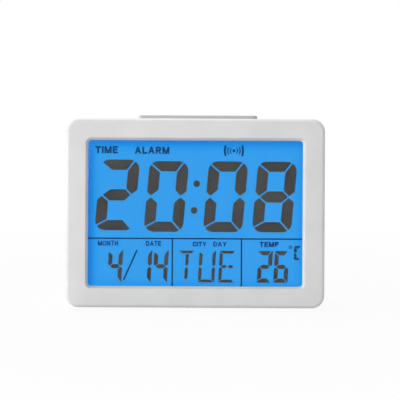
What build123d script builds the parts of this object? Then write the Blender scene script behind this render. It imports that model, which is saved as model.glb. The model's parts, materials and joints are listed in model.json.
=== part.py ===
from build123d import *
import math
import os

# A talking desk clock: a white case that leans back, a blue-lit display, a talk bar on the top edge,
# keys, a loudspeaker and a battery bay behind. Sizes are millimetres and degrees.
# Places are given as x (right, seen from the front), depth (behind the face) and height (up the face).

# Case
FACE_W = 136.8
FACE_H = 100.0
FACE_CORNER_R = 6.8
FACE_EDGE_R = 1.9
LEAN = 8.0
BEZEL_DEPTH = 10.0
BODY_DEPTH = 38.0
WALL = 2.0
FRONT_WALL = 2.2
REAR_SIDE_INSET = 6.0
REAR_TOP_INSET = 3.0
REAR_CORNER_R = 9.0
REAR_EDGE_R = 4.0
LIP_CLEARANCE = 0.15
LIP_T = 1.0
LIP_REACH = 2.0
LIP_ROOT = 3.0
LIP_COVER = 0.5
SEAM_CHAMFER = 0.3

# Window and lens
WINDOW_SIDE = 11.6
WINDOW_MARGIN = 11.42
WINDOW_RISE = -0.14
WINDOW_BEVEL = 1.25
WINDOW_CORNER_R = 1.8
LENS_LAND = 1.0
LENS_T = 1.2

# Display stack and backlight
POLARISER_T = 0.2
POLARISER_INSET = 0.6
GLASS_T = 1.1
GLASS_GAP = 0.15
GLASS_LEDGE = 3.0
SEAL_W = 0.7
DIFFUSER_T = 0.3
GUIDE_T = 3.0
REFLECTOR_T = 0.2
LED_BOARD_T = 0.8
LED_BOARD_MARGIN = 3.65
LED_T = 1.0
LED_L = 4.0
LED_COUNT = 4
LED_PITCH = 18.0
LED_CLEARANCE = 0.2
CONTACT_STRIP_EDGE = 1.0
CONTACT_STRIP_T = 2.0

# Figures on the display, drawn for a window of this size and printed to fit the window
DRAWN_W = 113.6
DRAWN_H = 77.16
DRAWN_Z = 49.86
TIME_SLANT = 5.2
TIME_FIGURE_W = 20.85
TIME_FIGURE_H = 37.5
TIME_BAR = 5.96
TIME_CROSS_BAR = 5.45
TIME_GAP = 0.7
TIME_CORNER_R = 5.1
TIME_BASE = 40.0
TIME_FIRST_LIFT = 0.7
TIME_FIGURE_PITCH = 25.98
TIME_COLON_PITCH = 31.47
TIME_LEFT = -51.87
COLON_R = 1.77
COLON_LOW = 51.4
COLON_RISE = 14.2
LOWER_SLANT = 3.3
LOWER_BASE = 13.3
LOWER_FIGURE_W = 7.6
LOWER_FIGURE_H = 16.8
LOWER_BAR = 2.17
LOWER_CROSS_BAR = 2.25
LOWER_GAP = 0.35
LOWER_CORNER_R = 0.5
MONTH_LEFT = -46.2
DAY_OF_MONTH_LEFT = -30.65
DATE_PITCH = 8.63
SLASH_LOW = (-37.9, 14.4)
SLASH_HIGH = (-30.75, 30.4)
SLASH_T = 0.78
LETTER_W = 8.7
LETTER_BAR = 1.68
LETTER_CROSS_BAR = 1.5
LETTER_LEFT = -8.85
LETTER_PITCH = 10.79
DEGREES_LEFT = 33.2
DEGREES_PITCH = 8.7
RING_R = 0.85
RING_HOLE_R = 0.44
RING_X = 50.45
RING_Z = 32.1
SMALL_C_W = 3.4
SMALL_C_H = 7.2
SMALL_C_BAR = 1.25
SMALL_C_GAP = 0.3
SMALL_C_LEFT = 52.6
SMALL_C_BASE = 25.4
RULE_T = 0.7
RULE_Z = 36.45
RULE_X = (-12.1, 24.55)

# Typeface of the figures, as shares of the bar: where the slanting gaps meet the outline,
# at the top left, top right, low left and low right corners
TIME_CUTS = (0.17, 0.41, 0.38, 0.12)
LOWER_CUTS = (0.35, 0.42, 0.45, 0.2)
NOTCH = 0.42
TIP_LEFT = 0.36
TIP_RIGHT = 0.5

# Display chassis
CHASSIS_WALL = 1.2
CHASSIS_CLEARANCE = 0.2
CHASSIS_BACK = 1.5
EAR_SIDE = 6.0
EAR_MARGIN = 22.0
EAR_R = 2.5
BOSS_R = 2.6
POST_R = 3.0
POST_END = 20.0

# Screws
SCREW_R = 1.0
SCREW_HEAD_R = 1.9
SCREW_HEAD_T = 1.3
SCREW_RECESS_T = 0.5
SCREW_RECESS_W = 0.45
SCREW_CROWN_R = 0.8
SCREW_HOLE_CLEARANCE = 0.2
CHASSIS_SCREW_L = 6.0
BOARD_SCREW_L = 4.0
COVER_SCREW_L = 10.0
COVER_SCREW_SIDE = 16.4
COVER_SCREW_LOW = 11.0
COVER_SCREW_DROP = 16.0
WELL_R = 2.6
WELL_WALL = 0.9
WELL_FLOOR = 2.0

# Boards
BOARD_T = 1.6
MAIN_BOARD_SIDE = 3.0
MAIN_BOARD_H = 53.0
MAIN_BOARD_LOW = 7.0
MAIN_BOARD_STANDOFF = 1.85
MAIN_SCREW_EDGE = 5.0
MAIN_SCREW_HEIGHTS = (16.0, 55.0)
STANDOFF_R = 2.5

# Main board components
BLOB_R = 7.0
BLOB_T = 1.8
BLOB_EDGE_R = 1.6
BLOB_AT = (-8.0, 34.0)
CHIP_W = 10.4
CHIP_H = 7.4
CHIP_T = 2.2
CHIP_AT = (14.0, 30.0)
CHIP_PIN_W = 0.5
CHIP_PIN_L = 1.5
CHIP_PIN_T = 0.4
CHIP_PIN_PITCH = 1.27
CHIP_PIN_COUNT = 8
CRYSTAL_R = 1.1
CRYSTAL_L = 6.2
CRYSTAL_LEG_L = 2.0
CRYSTAL_AT = (-25.0, 20.0)
CAPACITOR_R = 2.5
CAPACITOR_L = 6.0
CAPACITOR_EDGE_R = 0.5
CAPACITOR_INSETS = (20.0, 13.0)
CAPACITOR_Z = 17.0
SENSOR_R = 1.4
SENSOR_L = 3.0
SENSOR_INSET = 6.0
SENSOR_Z = 28.0
LEAD_R = 0.3

# Battery bay
CELL_D = 10.5
CELL_L = 44.5
CELL_NUB_R = 1.9
CELL_NUB_L = 1.2
CELL_EDGE_R = 0.6
CELL_COUNT = 3
CELL_PITCH = 11.2
CELL_CLEARANCE = 0.3
CONTACT_T = 0.4
CONTACT_SIZE = 8.6
CONTACT_SPRING_L = 5.7
CONTACT_SPRING_R = 3.4
CONTACT_SPRING_TIP_R = 2.2
CONTACT_SPRING_TURNS = 4
CONTACT_WIRE_R = 0.35
DOOR_SIDE = 2.5
BAY_Z = 39.0
BAY_WALL = 1.2
DOOR_T = 1.8
DOOR_CLEARANCE = 0.35
DOOR_LAND = 3.0
DOOR_CORNER_R = 1.5
DOOR_PAD = 1.5
HINGE_R = 1.7
HINGE_PIN_R = 0.9
HINGE_PIN_L = 1.5
HINGE_FIT = 0.05
HINGE_CLEARANCE = 0.25
GRIP_W = 16.0
GRIP_T = 0.9
GRIP_PROUD = 0.5
GRIP_PITCH = 1.9
GRIP_COUNT = 3
NOTCH_R = 7.0
NOTCH_DEPTH = 1.2

# Talk bar
TALK_W = 66.0
TALK_D = 11.0
TALK_PROUD = 2.3
TALK_CORNER_R = 3.0
TALK_EDGE_R = 0.8
TALK_DEPTH = 19.0
TALK_CLEARANCE = 0.3
TALK_TRAVEL = 1.0
TALK_SINK = 4.6
TALK_FLANGE = 2.0
TALK_FLANGE_T = 1.5
TALK_COLLAR_WALL = 2.2
TALK_RIB = 5.0
TALK_BOARD_DROP = 14.0
TALK_BOARD_EDGE = 2.4
TALK_BOARD_D = 10.0
TALK_BOSS_GAP = 0.6
TALK_BOSS_R = 3.0
TALK_SPRING_X = 22.0
TALK_SPRING_R = 2.3
TALK_SPRING_TURNS = 5
TALK_WIRE_R = 0.3
TALK_SPRING_PIN_R = 1.6
TALK_SPRING_PIN_L = 3.0

# Push switches
SWITCH_SIZE = 6.0
SWITCH_T = 3.5
PLUNGER_R = 1.7
PLUNGER_FIT = 0.1
PLUNGER_L = 3.2
PLUNGER_SINK = 1.9

# Keys
KEY_NAMES = ("mode_key", "set_key", "up_key", "down_key", "alarm_key")
KEY_W = 9.0
KEY_H = 5.0
KEY_PROUD = 1.2
KEY_EDGE_R = 0.5
KEY_CLEARANCE = 0.3
KEY_FLANGE = 1.2
KEY_FLANGE_T = 1.2
KEY_STEM_R = 2.0
KEY_STEM_L = 1.8
KEY_TRAVEL = 0.5
KEY_DROP = 24.5
KEY_FIRST_X = -42.0
KEY_PITCH = 13.0
KEY_BOARD_LEFT = -55.5
KEY_BOARD_RIGHT = 49.5
KEY_BOARD_H = 9.0
KEY_RIBBON_DROP = 3.0
KEY_SCREW_X = (-52.0, 46.0)

# Alarm slide switch
SLIDER_X = 28.0
SLIDER_TRAVEL = 4.0
SLIDER_W = 4.0
SLIDER_H = 3.0
SLIDER_PROUD = 1.4
SLIDER_CLEARANCE = 0.3
SLIDER_SKIRT_T = 0.9
SLIDER_SKIRT_GAP = 0.2
SLIDER_STEM = 2.0
SLIDER_SINK = 1.6
SLIDER_BODY_W = 10.0
SLIDER_BODY_H = 4.6
SLIDER_BODY_T = 4.0

# Loudspeaker, with profile places as distance in front of the rear panel and radius
SPEAKER_SIDE = 1.75
SPEAKER_Z = 42.0
SPEAKER_R = 18.0
SPEAKER_RIM = 2.4
SPEAKER_RIM_T = 1.2
SPEAKER_SHELL_T = 0.8
SPEAKER_BASKET_T = 7.2
SPEAKER_BACK_R = 10.8
MAGNET_R = 10.0
MAGNET_HOLE_R = 5.0
MAGNET_T = 4.0
YOKE_T = 1.4
POLE_R = 3.5
CONE_R = 13.35
CONE_FRONT = 1.4
CONE_T = 0.4
CONE_DEPTH = 3.3
COIL_R = 4.5
COIL_T = 0.5
COIL_END = 9.0
SURROUND_FIT = 0.05
SPEAKER_SCREW_RING = 20.4
SPEAKER_SCREW_COUNT = 3
SPEAKER_SCREW_TURN = 30.0
SPEAKER_BOSS_R = 2.2
SPEAKER_WASHER_R = 3.4
SPEAKER_WASHER_T = 0.6
GRILLE_HOLE_R = 0.9
GRILLE_RING_PITCH = 3.6
GRILLE_RINGS = 4

# Rubber feet
FOOT_W = 14.0
FOOT_D = 6.0
FOOT_PROUD = 0.6
FOOT_SINK = 0.8
FOOT_CLEARANCE = 0.1
FOOT_X = 46.0
FOOT_DEPTHS = (18.0, 32.0)

# Leads and ribbons inside the case
WIRE_R = 0.55
WIRE_BEND = 1.6
WIRE_DROP = 2.4
RIBBON_T = 0.5
RIBBON_W = 12.0
RIBBON_BEND = 2.0

# Frame of the case: the face leans back, and the underside lies level on the feet
LEAN_SIN = math.sin(math.radians(LEAN))
LEAN_COS = math.cos(math.radians(LEAN))
LEAN_TAN = math.tan(math.radians(LEAN))
RIGHT = Vector(1, 0, 0)
BACK = Vector(0, LEAN_COS, -LEAN_SIN)
UP = Vector(0, LEAN_SIN, LEAN_COS)
FRONT_REACH = FACE_EDGE_R * (LEAN_COS + LEAN_SIN - 1)
REAR_REACH = (
    (BODY_DEPTH - REAR_EDGE_R) * LEAN_COS + (FACE_H - REAR_TOP_INSET - REAR_EDGE_R) * LEAN_SIN + REAR_EDGE_R
)
FACE_ORIGIN = Vector(0, -(FRONT_REACH + REAR_REACH) / 2, FOOT_PROUD + BEZEL_DEPTH * LEAN_SIN)
DEPTH_AXIS = Axis(FACE_ORIGIN, BACK)
HEIGHT_AXIS = Axis(FACE_ORIGIN, UP)

# Depths of the display stack, each layer behind the one before
WINDOW_W = FACE_W - 2 * WINDOW_SIDE
WINDOW_H = FACE_H - 2 * WINDOW_MARGIN
WINDOW_Z = FACE_H / 2 + WINDOW_RISE
FIGURE_SCALE = min(WINDOW_W / DRAWN_W, WINDOW_H / DRAWN_H)
LENS_W = WINDOW_W + 2 * LENS_LAND
LENS_H = WINDOW_H + 2 * LENS_LAND
LENS_LOW = WINDOW_Z - LENS_H / 2
LENS_TOP = WINDOW_Z + LENS_H / 2
FRONT_POLARISER_AT = FRONT_WALL + LENS_T
FRONT_GLASS_AT = FRONT_POLARISER_AT + POLARISER_T
FIGURES_AT = FRONT_GLASS_AT + GLASS_T
REAR_GLASS_AT = FIGURES_AT + GLASS_GAP
REAR_POLARISER_AT = REAR_GLASS_AT + GLASS_T
DIFFUSER_AT = REAR_POLARISER_AT + POLARISER_T
GUIDE_AT = DIFFUSER_AT + DIFFUSER_T
REFLECTOR_AT = GUIDE_AT + GUIDE_T
CHASSIS_BACK_AT = REFLECTOR_AT + REFLECTOR_T
CHASSIS_END = CHASSIS_BACK_AT + CHASSIS_BACK
MAIN_BOARD_AT = CHASSIS_END + MAIN_BOARD_STANDOFF
MAIN_BOARD_END = MAIN_BOARD_AT + BOARD_T
CHASSIS_IN_W = LENS_W + 2 * CHASSIS_CLEARANCE
CHASSIS_IN_LOW = LENS_LOW - GLASS_LEDGE - CHASSIS_CLEARANCE
CHASSIS_IN_TOP = LENS_TOP + CHASSIS_CLEARANCE

# Depths and places behind
COVER_SCREW_X = FACE_W / 2 - COVER_SCREW_SIDE
MAIN_BOARD_W = 2 * (COVER_SCREW_X - POST_R - MAIN_BOARD_SIDE)
MAIN_SCREW_X = MAIN_BOARD_W / 2 - MAIN_SCREW_EDGE
CONTACT_STRIP_W = MAIN_BOARD_W - 2 * CONTACT_STRIP_EDGE
PANEL_INNER = BODY_DEPTH - WALL
DOOR_INNER = BODY_DEPTH - DOOR_T
CELL_DEPTH = DOOR_INNER - CELL_CLEARANCE - CELL_D / 2
BAY_FLOOR = CELL_DEPTH - CELL_D / 2 - CELL_CLEARANCE
BAY_W = CELL_L + CONTACT_SPRING_L + 2 * CONTACT_T
BAY_H = (CELL_COUNT - 1) * CELL_PITCH + CELL_D + 2 * CELL_CLEARANCE
DOOR_W = BAY_W + 2 * DOOR_LAND
PANEL_HALF_W = FACE_W / 2 - REAR_SIDE_INSET - REAR_EDGE_R
BAY_X = DOOR_W / 2 + DOOR_CLEARANCE + DOOR_SIDE - PANEL_HALF_W
BAY_LEFT = BAY_X - BAY_W / 2
BAY_RIGHT = BAY_X + BAY_W / 2
BAY_LOW = BAY_Z - BAY_H / 2
BAY_TOP = BAY_Z + BAY_H / 2
DOOR_TOP = BAY_TOP + DOOR_LAND
HINGE_Z = BAY_LOW - BAY_WALL - DOOR_CLEARANCE - HINGE_R
HINGE_DEPTH = BODY_DEPTH - HINGE_R
DOOR_LOW = HINGE_Z - HINGE_R
DOOR_H = DOOR_TOP - DOOR_LOW
PAD_END = HINGE_DEPTH - HINGE_R - HINGE_CLEARANCE - BAY_WALL
SPEAKER_X = PANEL_HALF_W - SPEAKER_SIDE - SPEAKER_R
TALK_TOP = FACE_H + TALK_PROUD
TALK_SEAT = FACE_H - TALK_SINK
TALK_BOARD_TOP = FACE_H - TALK_BOARD_DROP
TALK_SCREW_X = TALK_W / 2 + TALK_FLANGE + TALK_BOSS_R + TALK_BOSS_GAP
TALK_BOARD_W = 2 * (TALK_SCREW_X + TALK_BOARD_EDGE)
KEY_Z = FACE_H - KEY_DROP
KEY_STEM_END = PANEL_INNER - KEY_FLANGE_T - KEY_STEM_L
KEY_BOARD_END = KEY_STEM_END - PLUNGER_L + PLUNGER_SINK - SWITCH_T
KEY_BOARD_AT = KEY_BOARD_END - BOARD_T
COVER_SCREW_HEIGHTS = (COVER_SCREW_LOW, FACE_H - COVER_SCREW_DROP)
CORNER_POINTS = [(side * COVER_SCREW_X, height) for side in (-1, 1) for height in COVER_SCREW_HEIGHTS]
EAR_X = FACE_W / 2 - EAR_SIDE
EAR_HEIGHTS = (EAR_MARGIN, FACE_H - EAR_MARGIN)
EAR_POINTS = [(side * EAR_X, height) for side in (-1, 1) for height in EAR_HEIGHTS]
MAIN_SCREW_POINTS = [(side * MAIN_SCREW_X, height) for side in (-1, 1) for height in MAIN_SCREW_HEIGHTS]
KEY_X = [KEY_FIRST_X + index * KEY_PITCH for index in range(len(KEY_NAMES))]
CELL_HEIGHTS = [BAY_Z + (index - (CELL_COUNT - 1) / 2) * CELL_PITCH for index in range(CELL_COUNT)]


def point(x, depth, height):
    """A place on the clock from its x, its depth behind the face and its height up the face."""
    return FACE_ORIGIN + RIGHT * x + BACK * depth + UP * height


def depth_plane(depth):
    """Plane parallel to the face, drawn in x and height, looking forwards."""
    return Plane(origin=point(0, depth, 0), x_dir=RIGHT, z_dir=BACK * -1)


def height_plane(height):
    """Plane square to the face, drawn in x and depth, looking upwards."""
    return Plane(origin=point(0, 0, height), x_dir=RIGHT, z_dir=UP)


def side_plane(x):
    """Upright plane across the clock, drawn in depth and height, looking right."""
    return Plane(origin=point(x, 0, 0), x_dir=BACK, z_dir=RIGHT)


def seat(x, depth, height, facing):
    """Plane at a place, looking along the given direction."""
    return Plane(origin=point(x, depth, height), x_dir=RIGHT, z_dir=facing)


def face_outline(inset, mode=Mode.ADD):
    """Rounded outline of the face, drawn in by an inset."""
    with Locations((0, FACE_H / 2)):
        RectangleRounded(FACE_W - 2 * inset, FACE_H - 2 * inset, FACE_CORNER_R - inset, mode=mode)


def cover_outline(depth, inset):
    """Outline of the rear cover at a depth: sides and top draw in, the underside rises level."""
    share = (depth - BEZEL_DEPTH) / (BODY_DEPTH - BEZEL_DEPTH)
    width = FACE_W - 2 * (share * REAR_SIDE_INSET + inset)
    top = FACE_H - share * REAR_TOP_INSET - inset
    low = (depth - BEZEL_DEPTH) * LEAN_TAN + inset
    radius = FACE_CORNER_R + share * (REAR_CORNER_R - FACE_CORNER_R) - inset
    with Locations((0, (top + low) / 2)):
        RectangleRounded(width, top - low, radius)


def flat_layer(front, thickness, left, right, low, top):
    """Flat rectangular sheet parallel to the face."""
    with BuildPart() as sheet:
        with BuildSketch(depth_plane(front + thickness)):
            with Locations(((left + right) / 2, (low + top) / 2)):
                Rectangle(right - left, top - low)
        extrude(amount=thickness)
    return sheet.part


def pan_screw(head_seat, length):
    """Cross-recessed pan-head screw, its head on the seat and its shank behind it."""
    with BuildPart(head_seat) as fastener:
        Cylinder(SCREW_R, length, align=(Align.CENTER, Align.CENTER, Align.MAX))
        Cylinder(SCREW_HEAD_R, SCREW_HEAD_T, align=(Align.CENTER, Align.CENTER, Align.MIN))
        crown = fastener.edges().sort_by(Axis(head_seat.origin, head_seat.z_dir))[-1]
        fillet(crown, SCREW_CROWN_R)
        with Locations((0, 0, SCREW_HEAD_T)):
            for turn in (0, 90):
                Box(
                    2 * SCREW_R, SCREW_RECESS_W, 2 * SCREW_RECESS_T, rotation=(0, 0, turn), mode=Mode.SUBTRACT
                )
    return fastener.part


def push_switch(base, travel):
    """Square push-switch body standing on a plane, with the bore its plunger slides in."""
    with BuildPart(base) as body:
        Box(SWITCH_SIZE, SWITCH_SIZE, SWITCH_T, align=(Align.CENTER, Align.CENTER, Align.MIN))
        with Locations((0, 0, SWITCH_T)):
            Hole(PLUNGER_R + PLUNGER_FIT, PLUNGER_SINK + travel + PLUNGER_FIT)
    return body.part


def plunger(tip):
    """Round switch plunger below a plane that touches its tip."""
    with BuildPart(tip) as pin:
        Cylinder(PLUNGER_R, PLUNGER_L, align=(Align.CENTER, Align.CENTER, Align.MAX))
    return pin.part


def coil(base, start_r, end_r, length, turns, wire_r):
    """Open coil spring on a plane, swept through quarter-turn arcs that climb at a steady rate."""
    steps = 4 * turns
    rise = length - 2 * wire_r

    def on_coil(quarter):
        share = quarter / steps
        radius = start_r + share * (end_r - start_r)
        angle = math.radians(90 * quarter)
        return (radius * math.cos(angle), radius * math.sin(angle), wire_r + share * rise)

    turn_gap = min(
        (Vector(*on_coil(step + 4)) - Vector(*on_coil(step))).length - 2 * wire_r for step in range(steps - 3)
    )
    print(f"Least gap between the turns of a spring: {turn_gap:.2f} mm")
    with BuildPart() as spring:
        with BuildLine(base) as path:
            for step in range(steps):
                ThreePointArc(on_coil(step), on_coil(step + 0.5), on_coil(step + 1))
        wire = path.wires()[0]
        with BuildSketch(Plane(origin=wire @ 0, z_dir=wire % 0)):
            Circle(wire_r)
        sweep(path=wire)
    return spring.part


def wire_run(points, bend):
    """Insulated wire through places joined by straight runs and round bends."""
    with BuildPart() as run:
        with BuildLine() as path:
            FilletPolyline(*points, radius=bend)
        with BuildSketch(Plane(origin=path.line @ 0, z_dir=path.line % 0)):
            Circle(WIRE_R)
        sweep(path=path.line)
    return run.part


def ribbon(x, places):
    """Flat ribbon cable through places of depth and height, centred at x."""
    with BuildPart() as strip:
        with BuildLine(side_plane(x)) as path:
            FilletPolyline(*places, radius=RIBBON_BEND)
        with BuildSketch(Plane(origin=path.line @ 0, x_dir=RIGHT, z_dir=path.line % 0)):
            Rectangle(RIBBON_W, RIBBON_T)
        sweep(path=path.line)
    return strip.part


def drawn_in(outline, amount):
    """A convex outline, listed anticlockwise, with each side moved inwards."""
    sides = []
    for start, end in zip(outline, outline[1:] + outline[:1]):
        run = Vector(*end) - Vector(*start)
        inward = Vector(-run.Y, run.X).normalized()
        sides.append((Vector(*start) + inward * amount, run))
    corners = []
    for (base, run), (next_base, next_run) in zip(sides[-1:] + sides[:-1], sides):
        cross = run.X * next_run.Y - run.Y * next_run.X
        gap = next_base - base
        share = (gap.X * next_run.Y - gap.Y * next_run.X) / cross
        corners.append((base.X + run.X * share, base.Y + run.Y * share))
    return corners


def segment_cells(width, height, bar, cross, gap, cuts):
    """Cells that tile one figure, by segment letter; each is later drawn in by half the gap."""
    half = gap / 2
    left, right, low, top = -half, width + half, -half, height + half
    inner_left, inner_right = bar + half, width - bar - half
    middle = height / 2
    upper_top, upper_low = height - cross - half, middle + bar / 2 + half
    lower_top, lower_low = middle - bar / 2 - half, cross + half
    cut_top_left, cut_top_right, cut_low_left, cut_low_right = [share * bar for share in cuts]
    top_left = (left, top - cut_top_left)
    top_right = (right - cut_top_right, top)
    low_left = (left, low + cut_low_left)
    low_right = (right - cut_low_right, low)
    tip_left = (TIP_LEFT * bar, middle)
    tip_right = (width - TIP_RIGHT * bar, middle)
    notch = NOTCH * bar
    centre = width / 2
    stem_left, stem_right = centre - bar / 2 - half, centre + bar / 2 + half
    return {
        "A": [top_left, (inner_left, upper_top), (inner_right, upper_top), top_right, (left, top)],
        "B": [top_right, (inner_right, upper_top), (inner_right, upper_low), tip_right,
              (right, middle + notch), (right, top)],
        "C": [tip_right, (inner_right, lower_top), (inner_right, lower_low), low_right,
              (right, low), (right, middle - notch)],
        "D": [low_left, (left, low), low_right, (inner_right, lower_low), (inner_left, lower_low)],
        "E": [tip_left, (left, middle - notch), low_left, (inner_left, lower_low), (inner_left, lower_top)],
        "F": [top_left, (left, middle + notch), tip_left, (inner_left, upper_low), (inner_left, upper_top)],
        "G": [tip_left, (inner_left, lower_top), (inner_right, lower_top), tip_right,
              (inner_right, upper_low), (inner_left, upper_low)],
        "H": [tip_left, (inner_left, lower_top), (stem_left, lower_top), (centre, middle),
              (stem_left, upper_low), (inner_left, upper_low)],
        "I": [(centre, middle), (stem_right, lower_top), (inner_right, lower_top), tip_right,
              (inner_right, upper_low), (stem_right, upper_low)],
        "J": [(centre, middle), (stem_right, upper_low), (stem_right, upper_top),
              (stem_left, upper_top), (stem_left, upper_low)],
        "K": [(centre, middle), (stem_left, lower_top), (stem_left, lower_low), (stem_right, lower_low),
              (stem_right, lower_top)],
    }


def drawn(x, z):
    """A place on the display, from where it is drawn."""
    return (x * FIGURE_SCALE, WINDOW_Z + (z - DRAWN_Z) * FIGURE_SCALE)


def figure(lit, left, low, width, height, bar, cross, gap, corner_r, turn, cuts):
    """Lit segments of one slanted figure, on the plane behind them; left is taken at mid height."""
    slant = math.tan(math.radians(turn))

    def placed(x, z):
        return drawn(left + x + (z - height / 2) * slant, low + z)

    cells = segment_cells(width, height, bar, cross, gap, cuts)
    with BuildSketch(depth_plane(REAR_GLASS_AT)) as segments:
        for letter in lit:
            Polygon(*[placed(x, z) for x, z in drawn_in(cells[letter], gap / 2)], align=None)
    with BuildSketch(depth_plane(REAR_GLASS_AT)) as frame:
        Polygon(placed(0, 0), placed(width, 0), placed(width, height), placed(0, height), align=None)
        fillet(frame.vertices(), corner_r * FIGURE_SCALE)
    with BuildSketch(depth_plane(REAR_GLASS_AT)) as shaped:
        add(segments.sketch_local)
        add(frame.sketch_local, mode=Mode.INTERSECT)
    return shaped.sketch


def speaker_plane():
    """Plane through the loudspeaker's axis, drawn in distance before the panel and radius."""
    return Plane(origin=point(SPEAKER_X, PANEL_INNER, SPEAKER_Z), x_dir=BACK * -1, z_dir=RIGHT * -1)


def turned(profile):
    """Solid of revolution about the loudspeaker's axis."""
    with BuildPart() as spun:
        with BuildSketch(speaker_plane()):
            Polygon(*profile, align=None)
        revolve(axis=Axis(point(SPEAKER_X, PANEL_INNER, SPEAKER_Z), BACK))
    return spun.part


def save(piece, name):
    """Label a finished piece and write it."""
    piece.label = name
    export_step(piece, f"parts/{name}.step")


os.makedirs("parts", exist_ok=True)

# Front bezel: a shallow frame with a rolled front edge and a bevelled window
with BuildPart() as front_bezel:
    with BuildSketch(depth_plane(BEZEL_DEPTH)):
        face_outline(0)
    extrude(amount=BEZEL_DEPTH)
    fillet(front_bezel.faces().sort_by(DEPTH_AXIS)[0].edges(), FACE_EDGE_R)
    with BuildSketch(depth_plane(BEZEL_DEPTH)):
        face_outline(WALL)
    extrude(amount=BEZEL_DEPTH - FRONT_WALL, mode=Mode.SUBTRACT)
    chamfer(front_bezel.faces().sort_by(DEPTH_AXIS)[-1].outer_wire().edges(), SEAM_CHAMFER)
    with BuildSketch(depth_plane(FRONT_WALL)):
        with Locations((0, WINDOW_Z)):
            RectangleRounded(WINDOW_W, WINDOW_H, WINDOW_CORNER_R)
    with BuildSketch(depth_plane(0)):
        with Locations((0, WINDOW_Z)):
            RectangleRounded(
                WINDOW_W + 2 * WINDOW_BEVEL, WINDOW_H + 2 * WINDOW_BEVEL, WINDOW_CORNER_R + WINDOW_BEVEL
            )
    loft(ruled=True, mode=Mode.SUBTRACT)
    with BuildSketch(depth_plane(CHASSIS_BACK_AT)):
        with Locations(*EAR_POINTS):
            Circle(BOSS_R)
    extrude(amount=CHASSIS_BACK_AT - FRONT_WALL)
    with Locations(*[seat(x, CHASSIS_BACK_AT, z, BACK) for x, z in EAR_POINTS]):
        Hole(SCREW_R, CHASSIS_SCREW_L)
save(front_bezel.part, "front_bezel")

# Display lens: clear plate bonded behind the window
save(
    flat_layer(FRONT_WALL, LENS_T, -LENS_W / 2, LENS_W / 2, LENS_LOW, LENS_TOP),
    "display_lens",
)

# Display cell: two polarisers, two glasses, the seal between them and the figures
POLARISER_BOX = (
    -LENS_W / 2 + POLARISER_INSET, LENS_W / 2 - POLARISER_INSET,
    LENS_LOW + POLARISER_INSET, LENS_TOP - POLARISER_INSET,
)
save(flat_layer(FRONT_POLARISER_AT, POLARISER_T, *POLARISER_BOX), "lcd_front_polariser")
save(
    flat_layer(FRONT_GLASS_AT, GLASS_T, -LENS_W / 2, LENS_W / 2, LENS_LOW - GLASS_LEDGE, LENS_TOP),
    "lcd_front_glass",
)
save(flat_layer(REAR_GLASS_AT, GLASS_T, -LENS_W / 2, LENS_W / 2, LENS_LOW, LENS_TOP), "lcd_rear_glass")
save(flat_layer(REAR_POLARISER_AT, POLARISER_T, *POLARISER_BOX), "lcd_rear_polariser")

with BuildPart() as lcd_seal:
    with BuildSketch(depth_plane(REAR_GLASS_AT)):
        with Locations((0, WINDOW_Z)):
            Rectangle(LENS_W, LENS_H)
            Rectangle(LENS_W - 2 * SEAL_W, LENS_H - 2 * SEAL_W, mode=Mode.SUBTRACT)
    extrude(amount=GLASS_GAP)
save(lcd_seal.part, "lcd_seal")

# Time figures: four large slanted figures and a colon
with BuildPart() as lcd_time_digits:
    time_typeface = (TIME_GAP, TIME_CORNER_R, TIME_SLANT, TIME_CUTS)
    time_style = (TIME_FIGURE_W, TIME_FIGURE_H, TIME_BAR, TIME_CROSS_BAR, *time_typeface)
    time_minutes = TIME_LEFT + TIME_FIGURE_PITCH + TIME_COLON_PITCH
    extrude(figure("ABGED", TIME_LEFT, TIME_BASE + TIME_FIRST_LIFT, *time_style), amount=GLASS_GAP)
    extrude(figure("ABCDEF", TIME_LEFT + TIME_FIGURE_PITCH, TIME_BASE, *time_style), amount=GLASS_GAP)
    extrude(figure("ABCDEF", time_minutes, TIME_BASE, *time_style), amount=GLASS_GAP)
    extrude(figure("ABCDEFG", time_minutes + TIME_FIGURE_PITCH, TIME_BASE, *time_style), amount=GLASS_GAP)
    colon_shift = COLON_RISE * math.tan(math.radians(TIME_SLANT)) / 2
    with BuildSketch(depth_plane(REAR_GLASS_AT)):
        with Locations(drawn(-colon_shift, COLON_LOW), drawn(colon_shift, COLON_LOW + COLON_RISE)):
            Circle(COLON_R * FIGURE_SCALE)
    extrude(amount=GLASS_GAP)
save(lcd_time_digits.part, "lcd_time_digits")

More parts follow.
